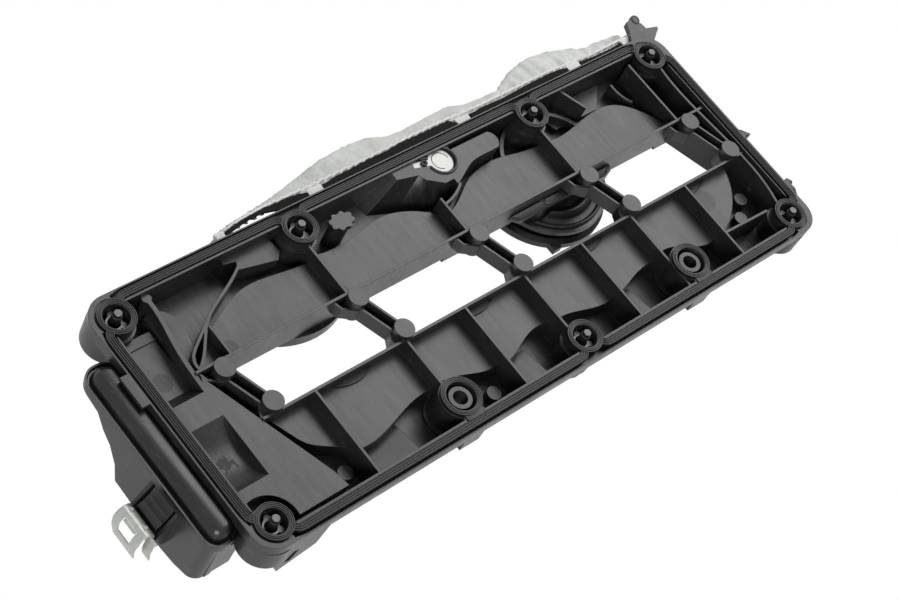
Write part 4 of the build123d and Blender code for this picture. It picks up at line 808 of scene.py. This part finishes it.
# Harness claws: two small nylon hooks moulded on the right end of the rail, which the
# wiring harness is pressed into.
CLAW_FOOT, CLAW_THICKNESS = -0.0045, 0.0032
CLAWS = [
    [(0.2084, -0.0128), (0.2084, -0.0040), (0.2112, -0.0030), (0.2136, -0.0040),
     (0.2152, -0.0062), (0.2178, -0.0094), (0.2160, -0.0098), (0.2138, -0.0088),
     (0.2122, -0.0102), (0.2108, -0.0128)],
    [(0.2084, -0.0570), (0.2084, -0.0490), (0.2108, -0.0466), (0.2132, -0.0440),
     (0.2152, -0.0438), (0.2172, -0.0470), (0.2162, -0.0484), (0.2148, -0.0478),
     (0.2150, -0.0520), (0.2118, -0.0570)],
]
for number, outline in enumerate(CLAWS, 1):
    bpy.ops.object.select_all(action="DESELECT")
    bpy.ops.mesh.primitive_circle_add(vertices=len(outline), radius=0.0030, fill_type="NGON")
    claw = bpy.context.object
    for vertex, (x, y) in zip(claw.data.vertices, outline):
        vertex.co = (x, y, CLAW_FOOT)
    bpy.ops.object.mode_set(mode="EDIT")
    bpy.ops.mesh.select_all(action="SELECT")
    bpy.ops.mesh.extrude_region_move(TRANSFORM_OT_translate={"value": (0.0, 0.0, CLAW_THICKNESS)})
    turn_faces_out()
    round_edges(0.00025)
    bpy.ops.object.shade_smooth_by_angle(angle=math.radians(35.0))
    settle(claw, f"harness_claw_{number}", cover_nylon)

# Harness knob: the rounded nylon end of the hook at the upper right corner, which keeps a
# cable tie from slipping off.
KNOB = (0.2108, 0.0895)
# the end is a little squared, in line with the hook
HOOK_LINE, LENGTHENING = Vector((0.45, 0.89)), 0.22
knob = turned(KNOB, [(0.0001, -0.0078), (0.0022, -0.0078), (0.0029, -0.0072), (0.0032, -0.0058),
                     (0.0031, -0.0038), (0.0026, -0.0026), (0.0016, -0.0022), (0.0001, -0.0021)],
              32)
bpy.ops.object.transform_apply(location=True)
for vertex in knob.data.vertices:
    off_middle = vertex.co.xy - Vector(KNOB)
    vertex.co.xy += LENGTHENING * off_middle.dot(HOOK_LINE) * HOOK_LINE
bpy.ops.object.shade_smooth_by_angle(angle=math.radians(40.0))
settle(knob, "harness_knob", cover_nylon)

# Studio: the cover lies on its outer side on a white sweep, under one large softbox and a
# smaller one beside the camera. Sweep and world are white to the eye and in reflections.


def in_sight(tree):
    """1 for a ray that comes from the eye, from a shiny face or through a clear one."""
    path = add(tree, "LightPath").outputs
    seen = add(tree, "Math", {0: path["Is Camera Ray"], 1: path["Is Glossy Ray"]},
               operation="MAXIMUM")
    return add(tree, "Math", {0: seen, 1: path["Is Transmission Ray"]}, operation="MAXIMUM")


bpy.ops.object.select_all(action="DESELECT")
bpy.ops.mesh.primitive_plane_add(size=16.0, location=(0.0, 0.0, cad_box[0].z - 0.0005))
floor = bpy.context.object
floor.name = "white_floor"
sweep, tree, surface = new_material("white_sweep")
feed(tree, surface, {"Base Color": linear("#f6f6f4"), "Roughness": 0.9})
white = add(tree, "Emission", {"Color": (1.0, 1.0, 1.0, 1.0), "Strength": 1.0})
mixed = add(tree, "MixShader", {0: in_sight(tree), 1: surface, 2: white})
feed(tree, tree.nodes["Material Output"], {"Surface": mixed})
wear(floor, sweep)

world = bpy.data.worlds.new("studio")
bpy.context.scene.world = world
world.use_nodes = True
tree = world.node_tree
tree.nodes.clear()
level = add(tree, "MapRange", {"Value": in_sight(tree), "To Min": 0.18, "To Max": 1.0})
sky = add(tree, "Background", {"Color": (1.0, 1.0, 1.0, 1.0), "Strength": level})
add(tree, "OutputWorld", {"Surface": sky})


def softbox(name, direction, distance, side, watts):
    """A square lamp that faces the middle of the cover."""
    lamp = bpy.data.lights.new(name, "AREA")
    lamp.size = side
    lamp.energy = watts
    holder = bpy.data.objects.new(name, lamp)
    bpy.context.scene.collection.objects.link(holder)
    holder.location = Vector(direction).normalized() * distance
    holder.rotation_mode = "QUATERNION"
    holder.rotation_quaternion = (-holder.location).to_track_quat("-Z", "Y")


softbox("key_softbox", (0.5885, 0.2476, 0.7696), 1.7, 1.2, 21.0)
softbox("front_fill", (-0.75, -0.55, 0.45), 1.8, 0.8, 20.0)

# Camera: a long portrait lens about a metre away, turned so that the cover lies across the
# frame with its lid end low on the left.
right = Vector((0.70852612, -0.61645225, 0.34347832))
down = Vector((-0.38938442, -0.74744478, -0.53824351))
ahead = Vector((0.5885325, 0.24761448, -0.76962105))
eye = Vector((-0.66399, -0.27493, 0.82242))
lens = bpy.data.cameras.new("portrait_lens")
lens.sensor_width = 36.0
lens.lens = 82.37
lens.clip_start, lens.clip_end = 0.05, 50.0
camera = bpy.data.objects.new("portrait_lens", lens)
bpy.context.scene.collection.objects.link(camera)
camera.matrix_world = Matrix((
    (right.x, -down.x, -ahead.x, eye.x),
    (right.y, -down.y, -ahead.y, eye.y),
    (right.z, -down.z, -ahead.z, eye.z),
    (0.0, 0.0, 0.0, 1.0),
))
bpy.context.scene.camera = camera
bpy.context.scene.view_settings.view_transform = "Standard"
